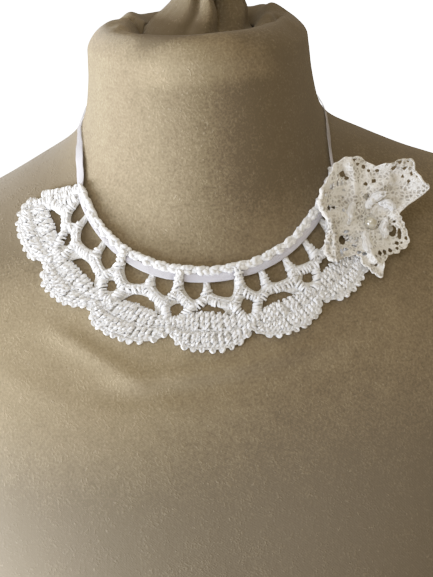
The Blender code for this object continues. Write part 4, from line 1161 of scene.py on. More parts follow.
def make_bars():
    """The zigzag, the legs and foot bar of each small eye, and the worked ends of the mesh."""
    yarns = [wrapped_bar((knot, drop + 1.8), turn, ZIGZAG_HALF) for knot, drop, turn in zigzag()]
    for join, pair in zip(JOINS, eye_sides()):
        stretch = float(pattern.stretch(join.tie, JOIN_DROP))
        for side, turn in zip((-1, 1), pair):
            foot = (join.tie + side * LEG_SPREAD / stretch, JOIN_DROP)
            yarns.append(wrapped_bar((turn[0], turn[1] - 1.6), foot, (1.85, 1.5)))
        spread = FOOT_SPREAD / stretch
        one, two = ((join.tie + side * spread, JOIN_DROP - 0.6) for side in (-1, 1))
        yarns.append(wrapped_bar(one, two, 1.5))
    # Each end is two upright bars and one that leads in from the last knot.
    rows = columns()
    for end, column, inward in ((LEFT_END, rows[0], 1.0), (RIGHT_END, rows[-1], -1.0)):
        outer = (end[0] + 2.6 * inward, MESH_TOP + 0.6), (end[1] + 2.6 * inward, JOIN_DROP - 1.0)
        inner = (end[0] + 5.4 * inward, MESH_TOP + 3.0), (end[1] + 6.4 * inward, JOIN_DROP - 4.0)
        yarns.append(wrapped_bar(*outer, 2.3))
        yarns.append(wrapped_bar(*inner, 2.0))
        # Above the first fan the stitches are heaped up into a lump.
        if end is LEFT_END:
            lump = (end[0] - 0.6, MESH_TOP + 3.4), (end[1] - 0.8, JOIN_DROP - 3.0)
            yarns.append(wrapped_bar(*lump, (1.5, 2.1), top=2.4))
        yarns.append(wrapped_bar((column[1], column[2] + 1.8), (end[1] + 5.0 * inward, 21.0), 2.1))
    return yarns


posts = yarn_piece("mesh_posts", make_posts(), COTTON)
bars = yarn_piece("mesh_bars", make_bars(), COTTON)

# %% Edge chains on the bars
LINK_PITCH = 2.1


def make_bar_chains():
    """The tops of the stitches: a fine chain along the upper side of each zigzag bar."""
    yarns = []
    for knot, drop, turn in zigzag():
        upper, lower = (knot, drop + 0.7), (turn[0], turn[1] - 1.2)
        _, length = pattern.way(upper, lower)
        part = np.linspace(0.08, 0.95, max(3, round(length / LINK_PITCH)))
        places = zip(*(start + (end - start) * part for start, end in zip(upper, lower)))
        yarns.append(chain(list(places), height=2.7, half=0.75, radius=0.58, reach=1.35))
    return yarns


bar_chains = yarn_piece("mesh_chains", make_bar_chains(), COTTON)

# %% Ground of the mesh
GROUND_THICKNESS = 0.6
# A face is on the underside where it looks against the form's outward direction by this much.
UNDERSIDE = -0.6


def ground_of(name, node):
    """The side of a model's solid that lies on the form, as a thin cloth."""
    mesh = bmesh.new()
    mesh.from_mesh(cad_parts[node].data)
    bmesh.ops.remove_doubles(mesh, verts=mesh.verts[:], dist=1e-6)
    mesh.normal_update()
    others = [face for face in mesh.faces
              if face.normal.dot(away_from_form(face.calc_center_median())) >= UNDERSIDE]
    bmesh.ops.delete(mesh, geom=others, context="FACES")
    bmesh.ops.reverse_faces(mesh, faces=mesh.faces[:])
    mesh.loops.layers.uv.new("yarn")
    area = surface_area(mesh)
    return cloth_piece(name, mesh, GROUND, GROUND_THICKNESS), area


mesh_ground, mesh_area = ground_of("mesh_ground", "eyelet_mesh")
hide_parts("eyelet_mesh")
print("mesh ground", round(mesh_area * 1e6), "mm2")

# %% [markdown]
# ## The seven fans
# A fan is two rows of tall stitches that spread like rays. Each tall stitch is two lengths that
# wind round each other. A low chain joins the rows, and the ground cloth is open under it. The
# second row is wound tighter, and picots stand at the edge. Every fan is the same function with
# another row of the table.

# %% Places on a fan
# The yarn's notches between two fans go deeper than the model's smooth outline.
NOTCH_DEPTH = 1.8


def fan_sides(index):
    """The tie, and the s and v of the corner, on a fan's left and on its right."""
    left = JOINS[index - 1][-3:] if index else LEFT_END[1:]
    right = JOINS[index][-3:] if index < len(JOINS) else RIGHT_END[1:]
    return left, right


def fan_place(index, across, part):
    """A place on a fan: across from -1 to 1, part from its upper edge to its outer edge."""
    across, part = np.broadcast_arrays(np.asarray(across, float), np.asarray(part, float))
    (left, low_left, drop_left), (right, low_right, drop_right) = fan_sides(index)
    fan = MIDDLES[index]
    middle = fan.knot if 0 < index < len(MIDDLES) - 1 else (left + right) / 2
    reach = np.abs(across)
    top_s = middle + across * np.where(across > 0, right - middle, middle - left)
    top_v = JOIN_DROP - (JOIN_DROP - fan.crown) * (1 - np.minimum(reach, 1) ** 2.2)
    side = np.where(across > 0, drop_right, drop_left) - NOTCH_DEPTH
    low_s = (low_left + low_right) / 2 + across * (low_right - low_left) / 2
    low_v = side + (fan.tip - side) * (1 - np.minimum(reach, 1) ** 3)
    return top_s * (1 - part) + low_s * part, top_v * (1 - part) + low_v * part


# %% Fans
STITCH_PITCH = 2.6
# Parts of a fan's depth: where its two rows start and end, the chain between them, the places
# where the picots and the edge chain are worked, and the strips of ground cloth.
FIRST_ROW = (-0.05, 0.47)
SECOND_ROW = (0.49, 0.94)
CHAIN_ROW = 0.485
PICOT_ROW = 0.94
EDGE_ROW = 0.915
GROUND_ROWS = ((0.02, 0.41), (0.52, 0.95))
GROUND_HEIGHT = 0.6
STRAND_RADIUS = 0.8
STRAND_SWING = 0.7
PICOT_PITCH = 4.4


def fan_width(index, part):
    """Real width of a fan along one of its rows."""
    s, v = fan_place(index, np.linspace(-1, 1, 25), part)
    return float(np.linalg.norm(np.diff(pattern.lay(s, v, 2.0), axis=0), axis=1).sum())


def tall_stitches(index, rows, count, turns, lean, height):
    """One row of tall stitches, each of two lengths that wind round each other.

    Neighbours lean together at the outer end, by a share of the distance between them.
    """
    pitch = 2.0 / count
    part = np.linspace(0, 1, 16)
    middle = (-1 + pitch * (np.arange(count) + 0.5))[:, None]
    middle = middle + jitter((count, 1), 0.12) * pitch
    pairing = np.where(np.arange(count) % 2, -1.0, 1.0)[:, None] * lean * pitch * part**2
    phase = chance.uniform(0.0, 2 * math.pi, (count, 1))
    lengths = []
    for side in (0, math.pi):
        along = rows[0] + (rows[1] - rows[0]) * part + jitter((count, 1), 0.01)
        wind = side + phase + turns * 2 * math.pi * part
        swing = STRAND_SWING * np.cos(wind) / STITCH_PITCH * pitch
        s, v = fan_place(index, middle + pairing + swing, along)
        arch = height * np.sin(np.clip(part, 0.03, 0.97) * math.pi) ** 0.45
        up = 0.95 + arch + 0.55 * np.sin(wind)
        lengths.append(pattern.lay(s, v, np.maximum(up, 0.9)))
    run = part * (rows[1] - rows[0]) * (MIDDLES[index].tip - MIDDLES[index].crown)
    thick = STRAND_RADIUS * swollen(run, jitter((2 * count, 1), 3.1), 0.34)
    return bent_yarn(np.concatenate(lengths), thick)


def fan_rows(index):
    """The yarn of one fan: two rows of tall stitches with their chains."""
    count, outer = (2 * round(fan_width(index, part) / STITCH_PITCH / 2) for part in (0.45, 0.75))
    across = np.linspace(-1, 1, count + 1) + jitter(count + 1, 0.12) * 2 / count
    places = list(zip(*fan_place(index, across, CHAIN_ROW)))
    return [tall_stitches(index, FIRST_ROW, count, turns=1.7, lean=0.2, height=1.35),
            tall_stitches(index, SECOND_ROW, outer, turns=1.9, lean=-0.14, height=1.6),
            chain(places, height=1.5, half=0.7, radius=0.6, reach=1.2)]


def fan_picots(index):
    """The picots of one fan, and the chain that they stand on."""
    count = round(fan_width(index, 0.92) / PICOT_PITCH)
    across = (np.arange(count) + 0.5) / count * 2 - 1 + jitter(count, 0.02)
    feet = list(zip(*fan_place(index, across, PICOT_ROW)))
    tips = zip(*fan_place(index, across, 1.0))
    ways = [pattern.way(foot, tip)[0] for foot, tip in zip(feet, tips)]
    edge = list(zip(*fan_place(index, np.linspace(-1.0, 1.0, 2 * count + 3), EDGE_ROW)))
    return [picots(feet, ways, size=1.0, height=1.8, radius=1.0),
            chain(edge, height=1.9, half=0.7, radius=0.8, reach=1.25)]


def fan_ground(index):
    """Two strips of ground cloth under the two rows, with the gap between them left open."""
    made = []
    for low, high in GROUND_ROWS:
        def bend(across, part, low=low, high=high):
            s, v = fan_place(index, (across * 2 - 1) * 0.975, low + (high - low) * part)
            return pattern.lay(s, v, GROUND_HEIGHT)
        strip = bent_grid(24, 3, "yarn", bend)
        made.append(bpy.data.meshes.new("strip"))
        strip.to_mesh(made[-1])
        strip.free()
    strips = joined(made)
    face_away(strips, away_from_form)
    area = surface_area(strips)
    return cloth_piece(MIDDLES[index].name + "_ground", strips, GROUND, GROUND_THICKNESS), area


fans = {}
for index, (name, *_) in enumerate(MIDDLES):
    stitches = yarn_piece(name + "_stitches", fan_rows(index) + fan_picots(index), COTTON)
    ground, area = fan_ground(index)
    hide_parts(name)
    fans[name] = (stitches, ground, area)

# %% [markdown]
# ## The satin ribbon
# The ribbon is one strip of satin. It comes round the back of the neck and runs under the band,
# over some posts and under others, to the right end, and goes back up the neck. It is pulled narrow
# in places. A route of its middle line is laid on the form, and the strip is spread across it,
# dipping where a post crosses over.

# %% Ribbon route
# Columns: s, distance below the neckline, height of the ribbon's middle over the form, width.
RIBBON_LEFT = [
    (-192, -38.5, 1.2, 6), (-178, -36.6, 1.2, 6), (-164, -30.5, 1.2, 6), (-150, -22.5, 0.8, 4.6),
    (-137, -16, 0.7, 5.4), (-125, -13.8, 0.6, 4.6), (-114, -13.4, 0.7, 4.8),
    (-105, -11.4, 1.1, 5.2), (-97, -7.9, 1.2, 4.8), (-91.2, -4.6, 1.3, 4),
]
# Columns: s, v, height, width.
RIBBON_FRONT = [
    (-86.5, 3, 2.1, 2.4), (-81, 4.2, 2.5, 1.7), (-70, 4.5, 2.6, 1.7), (-47, 5.2, 2.55, 2.7),
    (-33, 5.7, 2.6, 3.9), (-19.9, 5.8, 2.55, 4), (-7, 5.7, 2.6, 4.1), (6.4, 5.6, 2.6, 3.9),
    (18, 5.4, 2.6, 3.6), (30, 5.2, 2.6, 3.3), (45, 5.1, 2.6, 3), (62, 5.1, 2.55, 3),
    (74, 4.7, 2.2, 2.8),
]
RIBBON_RIGHT = [
    (80.7, -4.2, 1.3, 2.2), (86.6, -8.4, 1.2, 2), (92.8, -12.2, 1.2, 2.1),
    (100.8, -15.2, 1.2, 2.6), (110, -15.4, 0.7, 2.3), (121, -14.8, 0.6, 2.4), (134, -17, 0.7, 3.4),
    (148, -23.5, 0.8, 4.2), (163, -31.5, 1.1, 5.4), (178, -37, 1.2, 6), (192, -38.5, 1.2, 6),
]
# The ribbon's height under a post, and how far from the post it is pressed and drawn narrow.
DIP_HEIGHT = 1.55
DIP_REACH, DRAW_REACH = 2.3, 2.6
# Where the knot is, in distance below the neckline, and its width, height and depth.
KNOT_LEVEL = -38.5
KNOT_SIZE = (9.0, 7.5, 4.0)
RIBBON_THICKNESS = 0.35
RIBBON_FACES = (560, 8)


def ribbon_route(share):
    """The ribbon's middle line: s, distance below the neckline, height, width and whole length."""
    ends = pattern.half - KNOT_SIZE[0] / 2 + 0.9
    front = [(s, float(pattern.path(s)) + v, *rest) for s, v, *rest in RIBBON_FRONT]
    last = (KNOT_LEVEL, 2.2, 6.0)
    rows = np.array([(-ends, *last)] + RIBBON_LEFT + front + RIBBON_RIGHT + [(ends, *last)])
    length = np.concatenate([[0], np.cumsum(np.hypot(*np.diff(rows[:, :2], axis=0).T))])
    s, below, height, width = Spline(length, rows)(share * length[-1]).T
    for post in THREADED_POSTS:
        near = np.exp(-((s - post) / DIP_REACH) ** 4)
        height = height * (1 - near) + DIP_HEIGHT * near
        width = width * (1 - 0.22 * np.exp(-((s - post) / DRAW_REACH) ** 2))
    return s, below, height, width, length[-1]


def ribbon_bend(along, across):
    """A place of the ribbon: crowned across its width, and curled a little along its edges."""
    s, below, height, width, _ = ribbon_route(along)
    step = 1e-4
    one, two = (ribbon_route(np.clip(along + side * step, 0, 1))[:3] for side in (-1, 1))
    ahead = unit(pattern.over_form(*two) - pattern.over_form(*one))
    normal = pattern.look_up(pattern.normals, s, below)
    sideways = unit(np.cross(normal, ahead))
    reach = (across - 0.5) * width
    curl = (0.04 * np.sin(s * 0.31) + 0.02 * np.sin(s * 0.83 + 1.0)) * width
    lift = curl * (across - 0.5) * 2 + 0.25 * (1 - (2 * across - 1) ** 2)
    place = pattern.over_form(s, below, height)
    return place + sideways * reach[..., None] + normal * lift[..., None]


ribbon_length = ribbon_route(np.array([0.0, 1.0]))[-1]
ribbon_mesh = bent_grid(*RIBBON_FACES, "strip", ribbon_bend)
face_away(ribbon_mesh, away_from_form)
ribbon = cloth_piece("satin_ribbon", ribbon_mesh, SHEER_SATIN, RIBBON_THICKNESS, offset=0.0)
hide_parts("ribbon_front_left", "ribbon_front_middle", "ribbon_front_centre",
            "ribbon_front_right", "ribbon_side_left", "ribbon_side_right")
print("ribbon", round(ribbon_length), "mm round the neck")

# %% [markdown]
# ## Knot and tails
# Behind the neck the two ends are tied once over and hang down. The knot is a short tube of satin
# that is drawn in above and below, with creases that run into the draw, and each tail is a strip
# that sways and ends in a slanting cut.

# %% Knot
KNOT_GAP = 0.9
back_point = pattern.over_form(pattern.half, KNOT_LEVEL, 0.0)
back_normal = pattern.look_up(pattern.normals, np.array(pattern.half), np.array(KNOT_LEVEL))
back_up = unit(np.array([0.0, 0.0, 1.0]) - back_normal * back_normal[2])
back_side = np.cross(back_up, back_normal)


def knot_bend(around, upwards):
    """A place of the knot's tube, which is drawn in above and below."""
    turn = around * 2 * math.pi
    high = upwards * 2 - 1
    bulge = np.sqrt(np.maximum(1 - np.abs(high) ** 2.6, 0.0)) * 0.62 + 0.38
    crease = 1 + 0.07 * np.sin(5 * turn + 2.0 * high) + 0.05 * np.sin(9 * turn - 3 * high)
    side = KNOT_SIZE[0] / 2 * bulge * crease * np.cos(turn)
    out = KNOT_SIZE[2] / 2 * bulge * crease * np.sin(turn)
    up = KNOT_SIZE[1] / 2 * high * (1 - 0.12 * np.abs(np.sin(turn)))
    centre = back_point + back_normal * (KNOT_GAP + KNOT_SIZE[2] / 2)
    return (centre + side[..., None] * back_side + out[..., None] * back_normal
            + up[..., None] * back_up)


knot_mesh = bent_grid(48, 16, "strip", knot_bend, closed=True)
rims = [edge for edge in knot_mesh.edges if edge.is_boundary]
bmesh.ops.holes_fill(knot_mesh, edges=rims, sides=0)
bmesh.ops.recalc_face_normals(knot_mesh, faces=knot_mesh.faces)
knot = cloth_piece("satin_knot", knot_mesh, SATIN, RIBBON_THICKNESS, offset=-1.0)
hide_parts("ribbon_knot")

# %% Tails
# Columns: name, side, length, splay at the end.
RIBBON_TAILS = [("left", -1, 62.0, 15.0), ("right", 1, 54.0, 19.0)]
TAIL_WIDTH = 5.4


def make_tail(name, side, length, splay):
    """One tail: it starts in the knot, splays out and ends in a slanting cut."""
    start = KNOT_SIZE[1] / 2 - 0.4
    free = length - start

    def bend(along, across):
        cut = 3.0 * (across - 0.5) * ramp(along, 0.8, 1.0)
        run = along * free + cut
        share = np.clip(run / free, 0, 1)
        reach = side * (2.2 + splay * share**1.3 + 1.2 * np.sin(share * 7.0) * share)
        width = TAIL_WIDTH * (0.55 + 0.45 * ramp(along, 0.0, 0.25))
        s = reach + (across - 0.5) * width
        s = np.where(s < 0, pattern.half + s, s - pattern.half)
        roll = 0.35 * np.sin(share * 9.0 + side) * (across - 0.5) * 2
        height = 1.5 + 1.25 * np.sin(share * math.pi) + 0.9 * (1 - ramp(along, 0, 0.2)) + roll
        return pattern.over_form(s, KNOT_LEVEL + start + run, height)

    mesh = bent_grid(70, 8, "strip", bend)
    face_away(mesh, away_from_form)
    tail = cloth_piece("satin_tail_" + name, mesh, SATIN, RIBBON_THICKNESS, offset=0.0)
    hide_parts("ribbon_tail_" + name)
    return tail


tails = [make_tail(*row) for row in RIBBON_TAILS]

# %% [markdown]
# ## The rosette's place
# The rosette has its own flat frame: x to the side, y upwards and z out of the cloth, with the
# pearl in the middle. The frame faces between the way the form's surface looks and the front. A
# ray along z finds the form, so the lace clears it everywhere and can lift freely at its points.

# %% Rosette frame
# The pearl's place: s, and distance below the neckline.
FLOWER_PLACE = (68.5, 22.7)
# Share of the way from the surface's own direction to the front.
FLOWER_TURN = 0.62
# Columns: angle from x, reach and lift of the edge.
FLOWER_EDGE = [
    (4, 14.6, 4.9), (12, 14.4, 5.6), (17, 17.2, 6), (20, 23, 6.4), (22.5, 31.5, 6.8),
    (25, 33.1, 7.1), (29, 32.5, 7.6), (35, 32.2, 8), (40, 32.6, 8.2), (46, 34.2, 8.5),
    (51, 35.7, 8.8), (55, 35.2, 9), (60, 33, 9), (65, 30.8, 8.4), (71, 29.1, 7), (78, 27.8, 5.8),
    (84, 27.8, 5.4), (91, 30.8, 5.7), (98, 33, 6.8), (105, 34.1, 8), (112, 34.7, 8.6),
    (120, 34.2, 9), (128, 32.3, 9.2), (138, 31.6, 9.5), (150, 30.2, 9.4), (157, 28.6, 9.1),
    (163, 26, 8.7), (169, 23.3, 8.2), (177, 21.7, 7.5), (186, 22.7, 7.3), (193, 25.3, 7.6),
    (200, 27.6, 8.1), (206, 29, 8.6), (211, 28.3, 8.9), (216, 25.9, 8.9), (220, 22.6, 8.6),
    (225, 20.1, 8.1), (232, 18.2, 6.9), (240, 18.3, 6), (248, 21.1, 5.8), (257, 22.7, 6.4),
    (262, 24.5, 6.9), (266, 26.1, 7.3), (270, 25.6, 7.5), (273, 22.7, 7.6), (277, 20, 7.3),
    (284, 18.3, 6.4), (292, 17.6, 5.2), (303, 19.4, 4.9), (312, 20.2, 5.5), (321, 21.6, 6.3),
    (328, 21, 6.5), (337, 18.9, 6), (351, 16.5, 4.7),
]
# The lace wall of the model: its hole, its thickness, its clearance over the form, the dish in its
# middle and the five waves round it.
FLOWER_EYE = 3.0
FLOWER_WALL = 1.1
FLOWER_CLEARANCE = 4.4
FLOWER_DISH = 2.0
FLOWER_WAVE = 1.1
RAY_HEIGHT = 60.0


class Rosette:
    """The rosette's frame, its outline and the lowest place that its lace may take."""

    def __init__(self):
        self.centre = pattern.over_form(*FLOWER_PLACE, 0.0)
        normal = pattern.look_up(pattern.normals, *(np.array(place) for place in FLOWER_PLACE))
        self.out = unit(normal * (1 - FLOWER_TURN) + np.array([0.0, -1.0, 0.0]) * FLOWER_TURN)
        self.side = unit(np.cross(np.array([0.0, 0.0, 1.0]), self.out))
        self.up = np.cross(self.out, self.side)
        angles = np.radians([row[0] for row in FLOWER_EDGE])
        turned = np.concatenate([angles - 2 * math.pi, angles, angles + 2 * math.pi])
        self.reach = Spline(turned, np.tile([row[1] for row in FLOWER_EDGE], 3))
        self.lift = Spline(turned, np.tile([row[2] for row in FLOWER_EDGE], 3))

    def point(self, x, y, z):
        x, y, z = (np.asarray(value, float)[..., None] for value in (x, y, z))
        return self.centre + self.side * x + self.up * y + self.out * z

    def ground(self, x, y):
        """Height of the form under each place, along z."""
        starts = self.point(x, y, np.full_like(x, RAY_HEIGHT)) * MM
        heights = []
        for start in starts.reshape(-1, 3):
            hit, _, _, distance = form_surface.ray_cast(Vector(start), Vector(-self.out))
            heights.append(RAY_HEIGHT - distance / MM if hit else -RAY_HEIGHT)
        return np.array(heights).reshape(np.shape(x))

    def wall(self, x, y):
        """Height of the underside of the model's lace wall."""
        x, y = np.asarray(x, float), np.asarray(y, float)
        angle = np.arctan2(y, x)
        part = np.maximum(np.hypot(x, y) - FLOWER_EYE, 0) / (self.reach(angle) - FLOWER_EYE)
        wave = FLOWER_WAVE * np.sin(5 * angle + 0.6) * part
        lift = (self.lift(angle) - FLOWER_DISH) * part**1.4
        return np.maximum(FLOWER_CLEARANCE + lift + wave, self.ground(x, y) + FLOWER_CLEARANCE)


rosette = Rosette()
print("rosette faces", [round(float(part), 2) for part in rosette.out])

# %% [markdown]
# ## The lace
# The lace is one strip, gathered at the middle. Its folds are listed as ridges and hollows
# along short lines, which is how cloth shows where it was pinched and stitched. The openings are
# real: faces under each are deleted, and a subdivision rounds them.

# %% Folds and openings of the lace
# Columns: x and y of one end, x and y of the other, height (a hollow is below 0), width.
LACE_FOLDS = [
    (-21.3, 9.8, -11, 10.6, -3, 1.5), (-23, 6.2, -11, 4.4, 2.6, 2.8), (-19, 16, -14, 14, -2.4, 4),
    (-24, 19, -17, 27, 1.6, 3.2), (-12.6, 26, -9.5, 22, -3, 2.4), (-8, 28, -6.5, 12, 3, 2.4),
    (-1.5, 30, -4, 14, -1.6, 2.2), (5, 22.5, 14, 23, -2.4, 3), (4, 17, 12, 19.5, 1.8, 2.2),
    (12, 15, 21, 14, -2, 2.8), (24, 18, 29, 16.5, 1.4, 2.2), (9, 28, 21, 26, 2.2, 2.8),
    (11, 3.5, 15, -7, 1.7, 2.4), (8.5, -4.5, 9.5, -9.5, -1.8, 2), (2, -10, 8, -12.5, -2.8, 2.6),
    (-4.5, -9, -2.5, -18, 2.8, 1.8), (-2.5, -18, 4.6, -24, 2, 1.6), (-16.5, -7, -9, -7.5, -3.4, 3),
    (-20.5, -3, -22.5, -15, 3.4, 2.4), (-12, -13, -5, -14.5, 1.5, 1.8), (-9, 3, -4, 7, 1.5, 2),
    (-9, -2, -4.5, -5.5, 1.4, 2),
]
GATHER_PLEATS = 13
# Columns: x and y of the middle, width, height, in millimetres.
LACE_HOLES = [
    (-18.9, 20.1, 1.8, 2.3), (-15.5, 21, 1, 2), (-13.1, 21, 1.3, 1.8), (-12.1, 25.4, 3, 2.4),
    (-9.9, 23, 2, 1.7), (-4.3, 29.3, 1.6, 1.4), (-6.2, 31.7, 1.3, 1.2), (-12.1, 17.6, 1.2, 1.2),
    (-12.6, 14, 1.2, 1.2), (-22.8, 16.6, 1, 1.1), (-21.3, 9.8, 1.6, 2.2), (-18.2, 9.6, 2, 1.3),
    (-14, 7.6, 1.2, 1), (-0.9, 27.6, 1.4, 1.3), (4.2, 27.4, 1.4, 1.2), (7.6, 29.3, 1.8, 1.3),
    (13.5, 30.3, 1.5, 1.5), (9.8, 27.6, 1.5, 1.3), (16.4, 28.3, 1.5, 2), (1.1, 25.4, 1.3, 1.1),
    (5.9, 25.2, 1.6, 1.2), (13.5, 25.4, 1.8, 1.5), (19.1, 24.4, 1.4, 1.5), (3.7, 20, 1.9, 1.5),
    (-0.4, 19.1, 1.7, 1.2), (20.9, 28, 1.1, 1.1), (22.6, 21.3, 1, 1.2), (24.8, 19.4, 1, 1.1),
    (18.5, 20.6, 1, 1), (21, 17.6, 1, 1), (-0.4, 12.7, 2.4, 2.4), (10.8, -5.7, 2.9, 4.6),
    (13.7, -7.4, 1.3, 4.4), (6.7, -7, 1.2, 1.6), (12, -12.1, 1.6, 1.5), (14.4, -12.1, 1, 1),
    (17.1, -9.9, 1.6, 1.6), (11.3, -14.5, 1.2, 1.1), (14.2, -15, 1.6, 1), (1.5, -15.5, 1.7, 2),
    (4.2, -15.5, 1.6, 2), (7.6, -15, 1.8, 1.7), (4, -18.9, 1.4, 1.9), (6.4, -18.4, 1.5, 1.4),
    (4.7, -22.3, 1.3, 1.6), (-1.6, -16.5, 1, 1.4), (-2.3, -20.4, 1.2, 1.2), (-16.2, -6.7, 3, 4),
    (-13.5, -2.9, 2, 1.2), (-13.2, -6.2, 1.4, 2.8), (-10.9, -7.2, 1.6, 2.6),
    (-8.2, -7.7, 1.5, 1.4), (-16, -11.4, 2.2, 1.3), (-18.6, -12.3, 1.3, 2.8),
    (-10.6, -10.4, 2, 1.3), (-9.6, -13.5, 1.8, 1), (-7, -14.5, 2, 1.2), (-16.5, -15, 1.4, 1),
    (15.6, 2, 1, 1.6), (11.8, -1, 1, 1.2),
]
LACE_FACES = (240, 44)
LACE_THICKNESS = 0.45
# Height over the model's wall, how deep a hollow may go, and the radius of the strip's inner edge.
LACE_HEIGHT = 1.2
DEEPEST_HOLLOW = -2.5
LACE_START = 1.6
# A face goes where its middle lies in an oval of this many times the hole's own area.
HOLE_REACH = 1.6


def lace_height(x, y):
    """Height of the lace's lower side: the model's wall with the folds laid over it."""
    base = rosette.wall(x, y) + 0.25
    total = folded(x, y, LACE_FOLDS)
    angle, reach = np.arctan2(y, x), np.hypot(x, y)
    pleats = np.sin(GATHER_PLEATS * angle + 1.6 * np.sin(3 * angle))
    pleats *= 0.75 + 0.25 * np.sin(7 * angle)
    total += 0.4 * pleats * np.exp(-((reach - 7.0) / 5.0) ** 2)
    return base + np.maximum(total, DEEPEST_HOLLOW) + LACE_HEIGHT


def lace_place(angle, part):
    """The x and y of a place on the strip, with small scallops at its outer edge."""
    reach = LACE_START + (rosette.reach(angle) - LACE_START) * part
    reach = reach + 0.35 * np.sin(31 * angle) * ramp(part, 0.85, 1.0)
    return reach * np.cos(angle), reach * np.sin(angle)


def lace_bend(around, outwards):
    angle = around * 2 * math.pi
    x, y = lace_place(angle, outwards)
    return rosette.point(x, y, lace_height(x, y))


def cut_openings(mesh):
    """Delete the faces whose middles lie in an opening of the table."""
    doomed = []
    for face in mesh.faces:
        offset = np.array(face.calc_center_median()) / MM - rosette.centre
        x, y = offset @ rosette.side, offset @ rosette.up
        if any(((x - hole_x) / width * 2) ** 2 + ((y - hole_y) / height * 2) ** 2 < HOLE_REACH
               for hole_x, hole_y, width, height in LACE_HOLES):
            doomed.append(face)
    bmesh.ops.delete(mesh, geom=doomed, context="FACES")
    return len(doomed)


lace_mesh = bent_grid(*LACE_FACES, "lace", lace_bend, closed=True)
face_away(lace_mesh, lambda place: rosette.out)
lace_area = surface_area(lace_mesh)
print("openings take", cut_openings(lace_mesh), "faces")
lace = cloth_piece("gathered_lace", lace_mesh, LACE, LACE_THICKNESS, levels=1)
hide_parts("flower_lace")

# %% [markdown]
# ## Edges, loops and the pearl
# A cord is worked round the lace's edge. The edge is rolled over at the left, at the upper right
# and below, so it is thick there and catches the light. Loops of folded lace stand round the pearl.
# The pearl is drilled, with a dimple on each side where its thread goes in.

# %% Edge cords
def edge_cord(start, end, radius, lift, count):
    """A lumpy cord along the lace's edge, between two angles."""
    angle = np.radians(np.linspace(start, end, count))
    x, y = lace_place(angle, 1.0)
    rise = lift + 0.12 * np.sin(angle * 23)
    lumpy = radius * (1 + 0.16 * np.sin(angle * 71) + 0.1 * np.sin(angle * 43 + 1.0))
    return bent_yarn([rosette.point(x, y, lace_height(x, y) + rise)], lumpy, sides=8)


def tapered(count, radius, ends):
    """A radius along a cord that fades to its ends."""
    part = np.linspace(-1, 1, count)
    return radius * (ends + (1 - ends) * (1 - part**6))


# Columns: angles of both ends, radius, share of it that is left at the ends, lift, count of points.
EDGE_ROLLS = [(136, 218, 1.5, 0.3, 0.9, 150), (21, 60, 0.62, 0.5, 0.5, 150),
              (240, 270, 0.8, 0.5, 0.5, 60)]
edge_rows = [edge_cord(-4, 358, 0.42, 0.3, 420)]
for start, end, radius, ends, lift, count in EDGE_ROLLS:
    edge_rows.append(edge_cord(start, end, tapered(count, radius, ends), lift, count))
lace_edge = yarn_piece("lace_edge", edge_rows, LACE)

# %% Loops round the pearl
# Columns: name, angle and distance of the middle, half length, direction of the length.
FLOWER_LOOPS = [
    ("upper_left", 71, 11.2, 5.4, 31), ("left", 36, 11.6, 3.4, -32),
    ("lower_left", 333, 8.2, 3.8, 80), ("lower", 250, 10.5, 5.2, 92), ("right", 150, 11, 4.6, 68),
]
LOOP_RADIUS = 1.3
# Height of a loop's middle over the model's wall.
LOOP_HEIGHT = FLOWER_WALL + 2.0
# Size, extra height and thickness of the outer and the inner turn of a loop.
LOOP_TURNS = ((1.0, 0.0, 1.0), (0.62, 0.85, 0.8))


def make_loop(name, angle, distance, half, direction):
    """A bent oval of rolled lace, with a smaller one on it."""
    middle = np.array([math.cos(math.radians(angle)), math.sin(math.radians(angle))]) * distance
    way = math.radians(direction)
    turn = np.linspace(0, 2 * math.pi, 34)
    meshes = []
    for size, lift, thickness in LOOP_TURNS:
        along = half * size * np.cos(turn) * (1 + 0.05 * np.sin(3 * turn))
        across = size * np.sin(turn) + 1.2 * (1 - (along / half) ** 2)
        x = middle[0] + along * math.cos(way) - across * math.sin(way)
        y = middle[1] + along * math.sin(way) + across * math.cos(way)
        z = rosette.wall(x, y) + LOOP_HEIGHT + lift + 0.35 * np.sin(2 * turn + angle)
        thick = LOOP_RADIUS * (1 + 0.2 * np.sin(5 * turn + angle) + 0.1 * np.sin(9 * turn))
        meshes.append(bent_yarn([rosette.point(x, y, z)], thick * thickness, sides=10))
    loop = yarn_piece("lace_loop_" + name, meshes, COTTON)
    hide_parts("flower_loop_" + name)
    return loop


loops = [make_loop(*row) for row in FLOWER_LOOPS]

# %% Pearl
PEARL_RADIUS = 3.3
DRILL = 0.35


def make_pearl():
    """A drilled bead, on the rim of the lace's hole, and its middle."""
    rim = max(float(rosette.wall(FLOWER_EYE * math.cos(turn), FLOWER_EYE * math.sin(turn)))
              for turn in np.arange(8) * math.pi / 4)
    seat = math.sqrt(PEARL_RADIUS**2 - FLOWER_EYE**2) + 0.3
    centre = rosette.point(0.0, 0.0, rim + FLOWER_WALL + seat)
    mesh = bmesh.new()
    bmesh.ops.create_uvsphere(mesh, u_segments=40, v_segments=24, radius=PEARL_RADIUS * MM)
    for side in (-1, 1):
        pole = [face for face in mesh.faces
                if side * face.calc_center_median().z > PEARL_RADIUS * MM * 0.99]
        bmesh.ops.inset_region(mesh, faces=pole, thickness=DRILL * MM * 0.4, depth=-DRILL * MM,
                               use_even_offset=True)
    aim = Vector(rosette.side + 0.25 * rosette.up).to_track_quat("Z", "Y").to_matrix()
    bmesh.ops.rotate(mesh, verts=mesh.verts, cent=(0, 0, 0), matrix=aim)
    bmesh.ops.translate(mesh, verts=mesh.verts, vec=Vector(centre * MM))
    for face in mesh.faces:
        face.smooth = True
    bead = to_object("pearl_bead", mesh, PEARL)
    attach(bead, "root")
    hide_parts("pearl")
    return bead, centre


pearl, pearl_centre = make_pearl()

